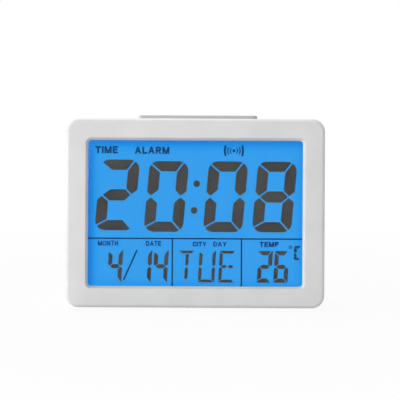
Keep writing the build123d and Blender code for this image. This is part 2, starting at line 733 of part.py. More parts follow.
# Lower figures: month and date, weekday letters, temperature
with BuildPart() as lcd_lower_digits:
    lower_typeface = (LOWER_CORNER_R, LOWER_SLANT, LOWER_CUTS)
    lower_style = (LOWER_FIGURE_W, LOWER_FIGURE_H, LOWER_BAR, LOWER_CROSS_BAR, LOWER_GAP, *lower_typeface)
    letter_style = (LETTER_W, LOWER_FIGURE_H, LETTER_BAR, LETTER_CROSS_BAR, LOWER_GAP, *lower_typeface)
    small_style = (SMALL_C_W, SMALL_C_H, SMALL_C_BAR, SMALL_C_BAR, SMALL_C_GAP, *lower_typeface)
    extrude(figure("FGBC", MONTH_LEFT, LOWER_BASE, *lower_style), amount=GLASS_GAP)
    extrude(figure("BC", DAY_OF_MONTH_LEFT, LOWER_BASE, *lower_style), amount=GLASS_GAP)
    extrude(figure("FGBC", DAY_OF_MONTH_LEFT + DATE_PITCH, LOWER_BASE, *lower_style), amount=GLASS_GAP)
    for index, lit in enumerate(("AJK", "BCDEF", "ADEFHI")):
        extrude(figure(lit, LETTER_LEFT + index * LETTER_PITCH, LOWER_BASE, *letter_style), amount=GLASS_GAP)
    for index, lit in enumerate(("ABGED", "ACDEFG")):
        extrude(figure(lit, DEGREES_LEFT + index * DEGREES_PITCH, LOWER_BASE, *lower_style), amount=GLASS_GAP)
    extrude(figure("ADEF", SMALL_C_LEFT, SMALL_C_BASE, *small_style), amount=GLASS_GAP)
    with BuildSketch(depth_plane(REAR_GLASS_AT)):
        with Locations(drawn(RING_X, RING_Z)):
            Circle(RING_R * FIGURE_SCALE)
            Circle(RING_HOLE_R * FIGURE_SCALE, mode=Mode.SUBTRACT)
        slash_low = Vector(*drawn(*SLASH_LOW))
        slash = Vector(*drawn(*SLASH_HIGH)) - slash_low
        with Locations(slash_low + slash * 0.5):
            slash_turn = math.degrees(math.atan2(slash.Y, slash.X))
            Rectangle(slash.length, SLASH_T * FIGURE_SCALE, rotation=slash_turn)
    extrude(amount=GLASS_GAP)
save(lcd_lower_digits.part, "lcd_lower_digits")

# Rules that part the date, weekday and temperature from the time
with BuildPart() as lcd_rules:
    rule_low = LENS_LOW + SEAL_W
    rule_half = LENS_W / 2 - SEAL_W
    rule_z = drawn(0, RULE_Z)[1]
    rule_t = RULE_T * FIGURE_SCALE
    with BuildSketch(depth_plane(REAR_GLASS_AT)):
        with Locations((0, rule_z)):
            Rectangle(2 * rule_half, rule_t)
        with Locations(*[(x * FIGURE_SCALE, (rule_low + rule_z) / 2) for x in RULE_X]):
            Rectangle(rule_t, rule_z - rule_low)
    extrude(amount=GLASS_GAP)
save(lcd_rules.part, "lcd_rules")

# Backlight: diffuser, edge-lit guide, reflector film and the strip of LEDs at its left edge
save(flat_layer(DIFFUSER_AT, DIFFUSER_T, *POLARISER_BOX), "backlight_diffuser")
LED_BOARD_LEFT = -LENS_W / 2
LED_LEFT = LED_BOARD_LEFT + LED_BOARD_T
GUIDE_LEFT = LED_LEFT + LED_T + LED_CLEARANCE
save(flat_layer(GUIDE_AT, GUIDE_T, GUIDE_LEFT, LENS_W / 2, LENS_LOW, LENS_TOP), "light_guide")
save(flat_layer(REFLECTOR_AT, REFLECTOR_T, GUIDE_LEFT, LENS_W / 2, LENS_LOW, LENS_TOP), "backlight_reflector")
save(
    flat_layer(
        GUIDE_AT, GUIDE_T + REFLECTOR_T, LED_BOARD_LEFT, LED_LEFT,
        LENS_LOW + LED_BOARD_MARGIN, LENS_TOP - LED_BOARD_MARGIN,
    ),
    "backlight_board",
)

with BuildPart() as backlight_leds:
    for index in range(LED_COUNT):
        led_z = WINDOW_Z + (index - (LED_COUNT - 1) / 2) * LED_PITCH
        add(flat_layer(GUIDE_AT, GUIDE_T, LED_LEFT, LED_LEFT + LED_T, led_z - LED_L / 2, led_z + LED_L / 2))
save(backlight_leds.part, "backlight_leds")

# Display chassis: a tray that holds the stack against the bezel, with posts for the cover and main board
with BuildPart() as display_chassis:
    chassis_z = (CHASSIS_IN_LOW + CHASSIS_IN_TOP) / 2
    chassis_h = CHASSIS_IN_TOP - CHASSIS_IN_LOW
    with BuildSketch(depth_plane(CHASSIS_END)):
        with Locations((0, chassis_z)):
            Rectangle(CHASSIS_IN_W + 2 * CHASSIS_WALL, chassis_h + 2 * CHASSIS_WALL)
    extrude(amount=CHASSIS_END - FRONT_WALL)
    with BuildSketch(depth_plane(CHASSIS_BACK_AT)):
        with Locations((0, chassis_z)):
            Rectangle(CHASSIS_IN_W, chassis_h)
    extrude(amount=CHASSIS_BACK_AT - FRONT_WALL, mode=Mode.SUBTRACT)
    with BuildSketch(depth_plane(CHASSIS_END)):
        for x, z in EAR_POINTS:
            with Locations((x, z)):
                Circle(EAR_R)
            with Locations(((x + math.copysign(CHASSIS_IN_W / 2, x)) / 2, z)):
                Rectangle(abs(x) - CHASSIS_IN_W / 2, 2 * EAR_R)
    extrude(amount=CHASSIS_BACK)
    with BuildSketch(depth_plane(POST_END)):
        with Locations(*CORNER_POINTS):
            Circle(POST_R)
    extrude(amount=POST_END - CHASSIS_END)
    with BuildSketch(depth_plane(MAIN_BOARD_AT)):
        with Locations(*MAIN_SCREW_POINTS):
            Circle(STANDOFF_R)
    extrude(amount=MAIN_BOARD_STANDOFF)
    with Locations(*[seat(x, CHASSIS_END, z, BACK) for x, z in EAR_POINTS]):
        Hole(SCREW_R + SCREW_HOLE_CLEARANCE, CHASSIS_BACK)
    with Locations(*[seat(x, POST_END, z, BACK) for x, z in CORNER_POINTS]):
        Hole(SCREW_R, COVER_SCREW_L - WELL_FLOOR)
    with Locations(*[seat(x, MAIN_BOARD_AT, z, BACK) for x, z in MAIN_SCREW_POINTS]):
        Hole(SCREW_R, BOARD_SCREW_L - BOARD_T)
    with BuildSketch(depth_plane(CHASSIS_END)):
        with Locations((0, LENS_LOW - GLASS_LEDGE / 2)):
            Rectangle(CONTACT_STRIP_W + 2 * CHASSIS_CLEARANCE, CONTACT_STRIP_T + 2 * CHASSIS_CLEARANCE)
    extrude(amount=CHASSIS_BACK, mode=Mode.SUBTRACT)
save(display_chassis.part, "display_chassis")

with BuildPart() as chassis_screws:
    for x, z in EAR_POINTS:
        add(pan_screw(seat(x, CHASSIS_END, z, BACK), CHASSIS_SCREW_L))
save(chassis_screws.part, "chassis_screws")

# Contact strip: striped elastomer pressed between the glass ledge and the main board
save(
    flat_layer(
        FIGURES_AT, MAIN_BOARD_AT - FIGURES_AT, -CONTACT_STRIP_W / 2, CONTACT_STRIP_W / 2,
        LENS_LOW - GLASS_LEDGE / 2 - CONTACT_STRIP_T / 2, LENS_LOW - GLASS_LEDGE / 2 + CONTACT_STRIP_T / 2,
    ),
    "contact_strip",
)

# Main board
with BuildPart() as main_board:
    with BuildSketch(depth_plane(MAIN_BOARD_END)):
        with Locations((0, MAIN_BOARD_LOW + MAIN_BOARD_H / 2)):
            Rectangle(MAIN_BOARD_W, MAIN_BOARD_H)
        with Locations(*MAIN_SCREW_POINTS):
            Circle(SCREW_R + SCREW_HOLE_CLEARANCE, mode=Mode.SUBTRACT)
    extrude(amount=BOARD_T)
save(main_board.part, "main_board")

# Controller under a bonded resin blob
with BuildPart(seat(BLOB_AT[0], MAIN_BOARD_END, BLOB_AT[1], BACK)) as controller_blob:
    Cylinder(BLOB_R, BLOB_T, align=(Align.CENTER, Align.CENTER, Align.MIN))
    fillet(controller_blob.edges().sort_by(DEPTH_AXIS)[-1], BLOB_EDGE_R)
save(controller_blob.part, "controller_blob")

# Voice memory chip with its two rows of pins
with BuildPart(seat(CHIP_AT[0], MAIN_BOARD_END, CHIP_AT[1], BACK)) as voice_chip:
    with Locations((0, 0, CHIP_PIN_T)):
        Box(CHIP_W, CHIP_H, CHIP_T, align=(Align.CENTER, Align.CENTER, Align.MIN))
    with GridLocations(CHIP_PIN_PITCH, CHIP_H, CHIP_PIN_COUNT, 2):
        Box(CHIP_PIN_W, 2 * CHIP_PIN_L, 2 * CHIP_PIN_T, align=(Align.CENTER, Align.CENTER, Align.MIN))
save(voice_chip.part, "voice_chip")

# Quartz crystal can lying on the board
with BuildPart() as quartz_crystal:
    crystal_seat = Plane(
        origin=point(CRYSTAL_AT[0], MAIN_BOARD_END + CRYSTAL_R, CRYSTAL_AT[1]), x_dir=BACK, z_dir=RIGHT
    )
    with BuildSketch(crystal_seat):
        Circle(CRYSTAL_R)
    extrude(amount=CRYSTAL_L)
    with BuildSketch(crystal_seat):
        with Locations((0, -CRYSTAL_R / 2), (0, CRYSTAL_R / 2)):
            Circle(LEAD_R)
    extrude(amount=-CRYSTAL_LEG_L)
save(quartz_crystal.part, "quartz_crystal")

# Two electrolytic capacitors
with BuildPart() as capacitors:
    for x in [MAIN_BOARD_W / 2 - inset for inset in CAPACITOR_INSETS]:
        with BuildSketch(depth_plane(MAIN_BOARD_END)):
            with Locations((x, CAPACITOR_Z)):
                Circle(CAPACITOR_R)
        extrude(amount=-CAPACITOR_L)
    fillet(capacitors.edges().group_by(DEPTH_AXIS)[-1], CAPACITOR_EDGE_R)
save(capacitors.part, "capacitors")

# Temperature sensor bead on its two legs
with BuildPart() as temperature_sensor:
    sensor_x = MAIN_BOARD_W / 2 - SENSOR_INSET
    with BuildSketch(depth_plane(MAIN_BOARD_END)):
        with Locations((sensor_x - SENSOR_R / 2, SENSOR_Z), (sensor_x + SENSOR_R / 2, SENSOR_Z)):
            Circle(LEAD_R)
    extrude(amount=-SENSOR_L)
    with Locations(point(sensor_x, MAIN_BOARD_END + SENSOR_L, SENSOR_Z)):
        Sphere(SENSOR_R)
save(temperature_sensor.part, "temperature_sensor")

# Rear cover: tapering shell with battery bay, screw wells, key holes, grille and talk-bar collar
with BuildPart() as rear_cover:
    with BuildSketch(depth_plane(BEZEL_DEPTH)):
        cover_outline(BEZEL_DEPTH, SEAM_CHAMFER)
    with BuildSketch(depth_plane(BEZEL_DEPTH + SEAM_CHAMFER)):
        cover_outline(BEZEL_DEPTH + SEAM_CHAMFER, 0)
    with BuildSketch(depth_plane(BODY_DEPTH)):
        cover_outline(BODY_DEPTH, 0)
    loft(ruled=True)
    fillet(rear_cover.faces().sort_by(DEPTH_AXIS)[-1].edges(), REAR_EDGE_R)
    with BuildSketch(depth_plane(BEZEL_DEPTH)):
        cover_outline(BEZEL_DEPTH, WALL)
    with BuildSketch(depth_plane(PANEL_INNER)):
        cover_outline(PANEL_INNER, WALL)
    loft(ruled=True, mode=Mode.SUBTRACT)

    # Lip that slides into the bezel, on a root inside the wall
    lip_inset = WALL + LIP_CLEARANCE
    root_inset = LIP_COVER + REAR_SIDE_INSET * LIP_ROOT / (BODY_DEPTH - BEZEL_DEPTH)
    with BuildSketch(depth_plane(BEZEL_DEPTH + LIP_ROOT)):
        face_outline(root_inset)
        face_outline(lip_inset + LIP_T, Mode.SUBTRACT)
    extrude(amount=LIP_ROOT)
    with BuildSketch(depth_plane(BEZEL_DEPTH)):
        face_outline(lip_inset)
        face_outline(lip_inset + LIP_T, Mode.SUBTRACT)
    extrude(amount=LIP_REACH)

    # Walls of the battery bay and the thick land round its door
    with BuildSketch(depth_plane(PANEL_INNER)):
        with Locations((BAY_X, BAY_Z)):
            Rectangle(BAY_W + 2 * BAY_WALL, BAY_H + 2 * BAY_WALL)
    extrude(amount=PANEL_INNER - BAY_FLOOR + BAY_WALL)
    with BuildSketch(depth_plane(PANEL_INNER)):
        with Locations((BAY_X, (DOOR_LOW + DOOR_TOP) / 2)):
            Rectangle(DOOR_W + 2 * (DOOR_PAD + HINGE_PIN_L), DOOR_H + 2 * DOOR_PAD)
    extrude(amount=PANEL_INNER - PAD_END)

    # Screw wells, and bosses for the key board and the loudspeaker
    with BuildSketch(depth_plane(PANEL_INNER)):
        with Locations(*CORNER_POINTS):
            Circle(WELL_R + WELL_WALL)
    extrude(amount=PANEL_INNER - POST_END)
    with BuildSketch(depth_plane(PANEL_INNER)):
        with Locations(*[(x, KEY_Z) for x in KEY_SCREW_X]):
            Circle(STANDOFF_R)
    extrude(amount=PANEL_INNER - KEY_BOARD_END)
    with BuildSketch(depth_plane(PANEL_INNER)):
        with Locations((SPEAKER_X, SPEAKER_Z)):
            with PolarLocations(SPEAKER_SCREW_RING, SPEAKER_SCREW_COUNT, start_angle=SPEAKER_SCREW_TURN):
                Circle(SPEAKER_BOSS_R)
    extrude(amount=SPEAKER_RIM_T)

    # Collar that guides the talk bar, and bosses for its board
    talk_hole_w = TALK_W + 2 * TALK_CLEARANCE
    talk_hole_d = TALK_D + 2 * TALK_CLEARANCE
    collar_top = FACE_H - WALL
    with BuildSketch(height_plane(TALK_SEAT)):
        with Locations((0, TALK_DEPTH)):
            RectangleRounded(
                talk_hole_w + 2 * TALK_COLLAR_WALL, talk_hole_d + 2 * TALK_COLLAR_WALL, TALK_CORNER_R
            )
    extrude(amount=collar_top - TALK_SEAT)
    with BuildSketch(height_plane(TALK_BOARD_TOP)):
        with Locations((-TALK_SCREW_X, TALK_DEPTH), (TALK_SCREW_X, TALK_DEPTH)):
            Circle(TALK_BOSS_R)
    extrude(amount=collar_top - TALK_BOARD_TOP)
    with BuildSketch(height_plane(TALK_SEAT)):
        with Locations((0, TALK_DEPTH)):
            RectangleRounded(talk_hole_w, talk_hole_d, TALK_CORNER_R + TALK_CLEARANCE)
    extrude(amount=FACE_H - TALK_SEAT, mode=Mode.SUBTRACT)
    talk_screw_seats = [seat(side * TALK_SCREW_X, TALK_DEPTH, TALK_BOARD_TOP, UP * -1) for side in (-1, 1)]
    with Locations(*talk_screw_seats):
        Hole(SCREW_R, BOARD_SCREW_L - BOARD_T)

    # Door opening, battery bay, hinge groove and pin holes
    with BuildSketch(depth_plane(BODY_DEPTH)):
        with Locations((BAY_X, (DOOR_LOW + DOOR_TOP) / 2)):
            Rectangle(DOOR_W + 2 * DOOR_CLEARANCE, DOOR_H + 2 * DOOR_CLEARANCE)
    extrude(amount=DOOR_T, mode=Mode.SUBTRACT)
    with BuildSketch(depth_plane(BODY_DEPTH)):
        with Locations((BAY_X, BAY_Z)):
            Rectangle(BAY_W, BAY_H)
    extrude(amount=BODY_DEPTH - BAY_FLOOR, mode=Mode.SUBTRACT)
    with BuildSketch(side_plane(BAY_X)):
        with Locations((HINGE_DEPTH, HINGE_Z)):
            Circle(HINGE_R + HINGE_CLEARANCE)
    extrude(amount=DOOR_W / 2 + DOOR_CLEARANCE, both=True, mode=Mode.SUBTRACT)
    with BuildSketch(side_plane(BAY_X)):
        with Locations((HINGE_DEPTH, HINGE_Z)):
            Circle(HINGE_PIN_R + HINGE_FIT)
    extrude(amount=DOOR_W / 2 + HINGE_PIN_L + DOOR_CLEARANCE, both=True, mode=Mode.SUBTRACT)
    with BuildSketch(depth_plane(BODY_DEPTH)):
        with Locations((BAY_X, DOOR_TOP)):
            Circle(NOTCH_R)
    extrude(amount=NOTCH_DEPTH, mode=Mode.SUBTRACT)

    # Screw holes, key holes, slider slot and speaker grille
    with Locations(*[seat(x, BODY_DEPTH, z, BACK) for x, z in CORNER_POINTS]):
        CounterBoreHole(
            SCREW_R + SCREW_HOLE_CLEARANCE, WELL_R, BODY_DEPTH - POST_END - WELL_FLOOR, BODY_DEPTH - POST_END
        )
    with Locations(*[seat(x, KEY_BOARD_END, KEY_Z, BACK * -1) for x in KEY_SCREW_X]):
        Hole(SCREW_R, BOARD_SCREW_L - BOARD_T)
    with BuildSketch(depth_plane(BODY_DEPTH)):
        with Locations(*[(x, KEY_Z) for x in KEY_X]):
            SlotOverall(KEY_W + 2 * KEY_CLEARANCE, KEY_H + 2 * KEY_CLEARANCE)
        with Locations((SLIDER_X + SLIDER_TRAVEL / 2, KEY_Z)):
            Rectangle(SLIDER_W + SLIDER_TRAVEL + 2 * SLIDER_CLEARANCE, SLIDER_H + 2 * SLIDER_CLEARANCE)
    extrude(amount=WALL, mode=Mode.SUBTRACT)
    with BuildSketch(depth_plane(BODY_DEPTH)):
        with Locations((SPEAKER_X, SPEAKER_Z)):
            Circle(GRILLE_HOLE_R)
            for ring in range(1, GRILLE_RINGS):
                with PolarLocations(ring * GRILLE_RING_PITCH, 6 * ring):
                    Circle(GRILLE_HOLE_R)
    extrude(amount=WALL, mode=Mode.SUBTRACT)
    speaker_screw_turns = [
        math.radians(SPEAKER_SCREW_TURN + index * 360 / SPEAKER_SCREW_COUNT)
        for index in range(SPEAKER_SCREW_COUNT)
    ]
    speaker_screw_places = [
        (SPEAKER_X + SPEAKER_SCREW_RING * math.cos(turn), SPEAKER_Z + SPEAKER_SCREW_RING * math.sin(turn))
        for turn in speaker_screw_turns
    ]
    with Locations(*[seat(x, PANEL_INNER - SPEAKER_RIM_T, z, BACK * -1) for x, z in speaker_screw_places]):
        Hole(SCREW_R, SPEAKER_RIM_T + WALL / 2)

    # Shallow seats for the feet in the level underside
    foot_places = [
        (side * FOOT_X, point(0, depth, (depth - BEZEL_DEPTH) * LEAN_TAN).Y)
        for side in (-1, 1)
        for depth in FOOT_DEPTHS
    ]
    with BuildSketch(Plane.XY.offset(FOOT_PROUD)):
        with Locations(*foot_places):
            SlotOverall(FOOT_W + 2 * FOOT_CLEARANCE, FOOT_D + 2 * FOOT_CLEARANCE)
    extrude(amount=FOOT_SINK, mode=Mode.SUBTRACT)

    # Holes in the bay floor for the battery leads
    battery_lead_places = [
        (x, CELL_HEIGHTS[0] - CELL_PITCH / 2) for x in (BAY_LEFT + 2 * WIRE_R, BAY_RIGHT - 2 * WIRE_R)
    ]
    with Locations(*[seat(x, BAY_FLOOR, z, BACK) for x, z in battery_lead_places]):
        Hole(WIRE_R + FOOT_CLEARANCE, BAY_WALL)
save(rear_cover.part, "rear_cover")

with BuildPart() as cover_screws:
    for x, z in CORNER_POINTS:
        add(pan_screw(seat(x, POST_END + WELL_FLOOR, z, BACK), COVER_SCREW_L))
save(cover_screws.part, "cover_screws")

# Rubber feet in their seats
with BuildPart() as rubber_feet:
    with BuildSketch():
        with Locations(*foot_places):
            SlotOverall(FOOT_W, FOOT_D)
    extrude(amount=FOOT_PROUD + FOOT_SINK)
save(rubber_feet.part, "rubber_feet")

# Battery door: plate with a round hinge bead, end pins and finger ribs
with BuildPart() as battery_door:
    with BuildSketch(depth_plane(BODY_DEPTH)):
        with Locations((BAY_X, (HINGE_Z + DOOR_TOP) / 2)):
            Rectangle(DOOR_W, DOOR_TOP - HINGE_Z)
    extrude(amount=DOOR_T)
    with BuildSketch(side_plane(BAY_X)):
        with Locations((HINGE_DEPTH, HINGE_Z)):
            Circle(HINGE_R)
    extrude(amount=DOOR_W / 2, both=True)
    with BuildSketch(side_plane(BAY_X)):
        with Locations((HINGE_DEPTH, HINGE_Z)):
            Circle(HINGE_PIN_R)
    extrude(amount=DOOR_W / 2 + HINGE_PIN_L, both=True)
    with BuildSketch(depth_plane(BODY_DEPTH + GRIP_PROUD)):
        for index in range(GRIP_COUNT):
            with Locations((BAY_X, DOOR_TOP - (index + 1) * GRIP_PITCH)):
                SlotOverall(GRIP_W, GRIP_T)
    extrude(amount=GRIP_PROUD + DOOR_T / 2)
    fillet(battery_door.edges().filter_by(Axis(FACE_ORIGIN, BACK)).group_by(HEIGHT_AXIS)[-1], DOOR_CORNER_R)
save(battery_door.part, "battery_door")

# Three cells, facing opposite ways in turn
with BuildPart() as battery_cells:
    for index, z in enumerate(CELL_HEIGHTS):
        way = 1 if index % 2 == 0 else -1
        plus_end = BAY_RIGHT - CONTACT_T if way > 0 else BAY_LEFT + CONTACT_T
        with BuildPart(
            Plane(origin=point(plus_end, CELL_DEPTH, z), x_dir=BACK, z_dir=RIGHT * way), mode=Mode.PRIVATE
        ) as one_cell:
            with Locations((0, 0, -CELL_NUB_L)):
                Cylinder(CELL_D / 2, CELL_L - CELL_NUB_L, align=(Align.CENTER, Align.CENTER, Align.MAX))
            fillet(one_cell.edges(), CELL_EDGE_R)
            Cylinder(CELL_NUB_R, 2 * CELL_NUB_L, align=(Align.CENTER, Align.CENTER, Align.MAX))
        add(one_cell.part)
save(battery_cells.part, "battery_cells")

# Contact plates at both ends of each cell, and the coil at each negative end
with BuildPart() as battery_contacts:
    for z in CELL_HEIGHTS:
        for left in (BAY_LEFT, BAY_RIGHT - CONTACT_T):
            add(
                flat_layer(
                    CELL_DEPTH - CONTACT_SIZE / 2, CONTACT_SIZE, left, left + CONTACT_T,
                    z - CONTACT_SIZE / 2, z + CONTACT_SIZE / 2,
                )
            )
save(battery_contacts.part, "battery_contacts")

with BuildPart() as battery_springs:
    for index, z in enumerate(CELL_HEIGHTS):
        way = 1 if index % 2 == 0 else -1
        foot = BAY_LEFT + CONTACT_T if way > 0 else BAY_RIGHT - CONTACT_T
        spring_base = Plane(origin=point(foot, CELL_DEPTH, z), x_dir=BACK, z_dir=RIGHT * way)
        add(
            coil(
                spring_base, CONTACT_SPRING_R, CONTACT_SPRING_TIP_R, CONTACT_SPRING_L,
                CONTACT_SPRING_TURNS, CONTACT_WIRE_R,
            )
        )
save(battery_springs.part, "battery_springs")

# Talk bar with its flange, spring pins and the rib that meets the switch
TALK_FLANGE_LOW = TALK_SEAT - TALK_FLANGE_T
TALK_PLUNGER_TIP = TALK_BOARD_TOP + SWITCH_T - PLUNGER_SINK + PLUNGER_L
with BuildPart() as talk_bar:
    with BuildSketch(height_plane(TALK_SEAT)):
        with Locations((0, TALK_DEPTH)):
            RectangleRounded(TALK_W, TALK_D, TALK_CORNER_R)
    extrude(amount=TALK_TOP - TALK_SEAT)
    fillet(talk_bar.faces().sort_by(HEIGHT_AXIS)[-1].edges(), TALK_EDGE_R)
    with BuildSketch(height_plane(TALK_FLANGE_LOW)):
        with Locations((0, TALK_DEPTH)):
            RectangleRounded(TALK_W + 2 * TALK_FLANGE, TALK_D + 2 * TALK_FLANGE, TALK_CORNER_R)
    extrude(amount=TALK_FLANGE_T)
    with BuildSketch(height_plane(TALK_FLANGE_LOW)):
        with Locations((-TALK_SPRING_X, TALK_DEPTH), (TALK_SPRING_X, TALK_DEPTH)):
            Circle(TALK_SPRING_PIN_R)
    extrude(amount=-TALK_SPRING_PIN_L)
    with BuildSketch(height_plane(TALK_FLANGE_LOW)):
        with Locations((0, TALK_DEPTH)):
            Rectangle(TALK_RIB, TALK_RIB)
    extrude(amount=TALK_PLUNGER_TIP - TALK_FLANGE_LOW)
save(talk_bar.part, "talk_bar")

with BuildPart() as talk_bar_springs:
    for side in (-1, 1):
        add(
            coil(
                seat(side * TALK_SPRING_X, TALK_DEPTH, TALK_BOARD_TOP, UP), TALK_SPRING_R, TALK_SPRING_R,
                TALK_FLANGE_LOW - TALK_BOARD_TOP, TALK_SPRING_TURNS, TALK_WIRE_R,
            )
        )
save(talk_bar_springs.part, "talk_bar_springs")

# Talk board under the bar, with its push switch
with BuildPart() as talk_board:
    with BuildSketch(height_plane(TALK_BOARD_TOP)):
        with Locations((0, TALK_DEPTH)):
            Rectangle(TALK_BOARD_W, TALK_BOARD_D)
        with Locations((-TALK_SCREW_X, TALK_DEPTH), (TALK_SCREW_X, TALK_DEPTH)):
            Circle(SCREW_R + SCREW_HOLE_CLEARANCE, mode=Mode.SUBTRACT)
    extrude(amount=-BOARD_T)
save(talk_board.part, "talk_board")
save(push_switch(seat(0, TALK_DEPTH, TALK_BOARD_TOP, UP), TALK_TRAVEL), "talk_switch")
save(plunger(seat(0, TALK_DEPTH, TALK_PLUNGER_TIP, UP)), "talk_switch_plunger")

# Key board with its five push switches
with BuildPart() as key_board:
    with BuildSketch(depth_plane(KEY_BOARD_END)):
        with Locations(((KEY_BOARD_LEFT + KEY_BOARD_RIGHT) / 2, KEY_Z)):
            Rectangle(KEY_BOARD_RIGHT - KEY_BOARD_LEFT, KEY_BOARD_H)
        with Locations(*[(x, KEY_Z) for x in KEY_SCREW_X]):
            Circle(SCREW_R + SCREW_HOLE_CLEARANCE, mode=Mode.SUBTRACT)
    extrude(amount=BOARD_T)
save(key_board.part, "key_board")

with BuildPart() as key_switches:
    for x in KEY_X:
        add(push_switch(seat(x, KEY_BOARD_END, KEY_Z, BACK), KEY_TRAVEL))
save(key_switches.part, "key_switches")

# Five keys, each with a flange behind the panel and a stem on its switch plunger
for name, x in zip(KEY_NAMES, KEY_X):
    with BuildPart() as key:
        with BuildSketch(depth_plane(BODY_DEPTH + KEY_PROUD)):
            with Locations((x, KEY_Z)):
                SlotOverall(KEY_W, KEY_H)
        extrude(amount=KEY_PROUD + WALL)
        fillet(key.faces().sort_by(DEPTH_AXIS)[-1].edges(), KEY_EDGE_R)
        with BuildSketch(depth_plane(PANEL_INNER)):
            with Locations((x, KEY_Z)):
                SlotOverall(KEY_W + 2 * KEY_FLANGE, KEY_H + 2 * KEY_FLANGE)
        extrude(amount=KEY_FLANGE_T)
        with BuildSketch(depth_plane(PANEL_INNER - KEY_FLANGE_T)):
            with Locations((x, KEY_Z)):
                Circle(KEY_STEM_R)
        extrude(amount=KEY_STEM_L)
    save(key.part, name)
    save(plunger(seat(x, KEY_STEM_END, KEY_Z, BACK)), f"{name}_plunger")

# Alarm slide switch: body on the key board, knob through the panel
with BuildPart() as alarm_switch_body:
    with BuildSketch(depth_plane(KEY_BOARD_END)):
        with Locations((SLIDER_X + SLIDER_TRAVEL / 2, KEY_Z)):
            Rectangle(SLIDER_BODY_W, SLIDER_BODY_H)
    extrude(amount=-SLIDER_BODY_T)
    with BuildSketch(depth_plane(KEY_BOARD_END + SLIDER_BODY_T)):
        with Locations((SLIDER_X + SLIDER_TRAVEL / 2, KEY_Z)):
            Rectangle(
                SLIDER_STEM + SLIDER_TRAVEL + 2 * SLIDER_CLEARANCE, SLIDER_STEM + 2 * SLIDER_CLEARANCE
            )
    extrude(amount=SLIDER_SINK + SLIDER_CLEARANCE, mode=Mode.SUBTRACT)
save(alarm_switch_body.part, "alarm_switch_body")

with BuildPart() as alarm_switch_knob:
    skirt_at = PANEL_INNER - SLIDER_SKIRT_GAP
    with BuildSketch(depth_plane(BODY_DEPTH + SLIDER_PROUD)):
        with Locations((SLIDER_X, KEY_Z)):
            Rectangle(SLIDER_W, SLIDER_H)
    extrude(amount=BODY_DEPTH + SLIDER_PROUD - skirt_at)
    fillet(alarm_switch_knob.faces().sort_by(DEPTH_AXIS)[-1].edges(), KEY_EDGE_R)
    with BuildSketch(depth_plane(skirt_at)):
        with Locations((SLIDER_X, KEY_Z)):
            Rectangle(SLIDER_W + 2 * SLIDER_TRAVEL + KEY_FLANGE, SLIDER_H + 2 * KEY_FLANGE)
    extrude(amount=SLIDER_SKIRT_T)
    with BuildSketch(depth_plane(skirt_at)):
        with Locations((SLIDER_X, KEY_Z)):
            Rectangle(SLIDER_STEM, SLIDER_STEM)
    extrude(amount=skirt_at - (KEY_BOARD_END + SLIDER_BODY_T - SLIDER_SINK))
save(alarm_switch_knob.part, "alarm_switch_knob")

# Screws that hold the three boards
with BuildPart() as board_screws:
    for x, z in MAIN_SCREW_POINTS:
        add(pan_screw(seat(x, MAIN_BOARD_END, z, BACK), BOARD_SCREW_L))
    for x in KEY_SCREW_X:
        add(pan_screw(seat(x, KEY_BOARD_AT, KEY_Z, BACK * -1), BOARD_SCREW_L))
    for side in (-1, 1):
        talk_seat = seat(side * TALK_SCREW_X, TALK_DEPTH, TALK_BOARD_TOP - BOARD_T, UP * -1)
        add(pan_screw(talk_seat, BOARD_SCREW_L))
save(board_screws.part, "board_screws")

# Loudspeaker: pressed basket, ring magnet, yoke with pole, paper cone with coil, soft surround
RIM_R = SPEAKER_R - SPEAKER_RIM
MAGNET_AT = SPEAKER_BASKET_T
YOKE_AT = MAGNET_AT + MAGNET_T
save(
    turned([
        (0, RIM_R), (0, SPEAKER_R), (SPEAKER_RIM_T, SPEAKER_R), (SPEAKER_RIM_T, RIM_R + SPEAKER_SHELL_T),
        (SPEAKER_BASKET_T - SPEAKER_SHELL_T, SPEAKER_BACK_R), (SPEAKER_BASKET_T, SPEAKER_BACK_R),
        (SPEAKER_BASKET_T, MAGNET_HOLE_R), (SPEAKER_BASKET_T - SPEAKER_SHELL_T, MAGNET_HOLE_R),
        (SPEAKER_BASKET_T - SPEAKER_SHELL_T, SPEAKER_BACK_R - SPEAKER_SHELL_T), (SPEAKER_RIM_T, RIM_R),
    ]),
    "speaker_basket",
)
save(
    turned([
        (MAGNET_AT, MAGNET_HOLE_R), (MAGNET_AT, MAGNET_R), (YOKE_AT, MAGNET_R), (YOKE_AT, MAGNET_HOLE_R),
    ]),
    "speaker_magnet",
)
save(
    turned([
        (MAGNET_AT, 0), (MAGNET_AT, POLE_R), (YOKE_AT, POLE_R), (YOKE_AT, MAGNET_R),
        (YOKE_AT + YOKE_T, MAGNET_R), (YOKE_AT + YOKE_T, 0),
    ]),
    "speaker_yoke",
)
CONE_NECK = CONE_FRONT + CONE_DEPTH
CAP_RISE = 2 * CONE_T
save(
    turned([
        (CONE_FRONT, CONE_R), (CONE_NECK, COIL_R - COIL_T / 2), (CONE_NECK - CAP_RISE, 0),
        (CONE_NECK - CAP_RISE + CONE_T, 0), (CONE_NECK + CONE_T, COIL_R - COIL_T),
        (COIL_END, COIL_R - COIL_T), (COIL_END, COIL_R), (CONE_NECK + CONE_T, COIL_R),
        (CONE_FRONT + CONE_T, CONE_R),
    ]),
    "speaker_cone",
)
save(
    turned([
        (CONE_FRONT, CONE_R + SURROUND_FIT), (CONE_FRONT + CONE_T, CONE_R + SURROUND_FIT),
        (SPEAKER_RIM_T, RIM_R), (SPEAKER_RIM_T - CONE_T, RIM_R),
    ]),
    "speaker_surround",
)

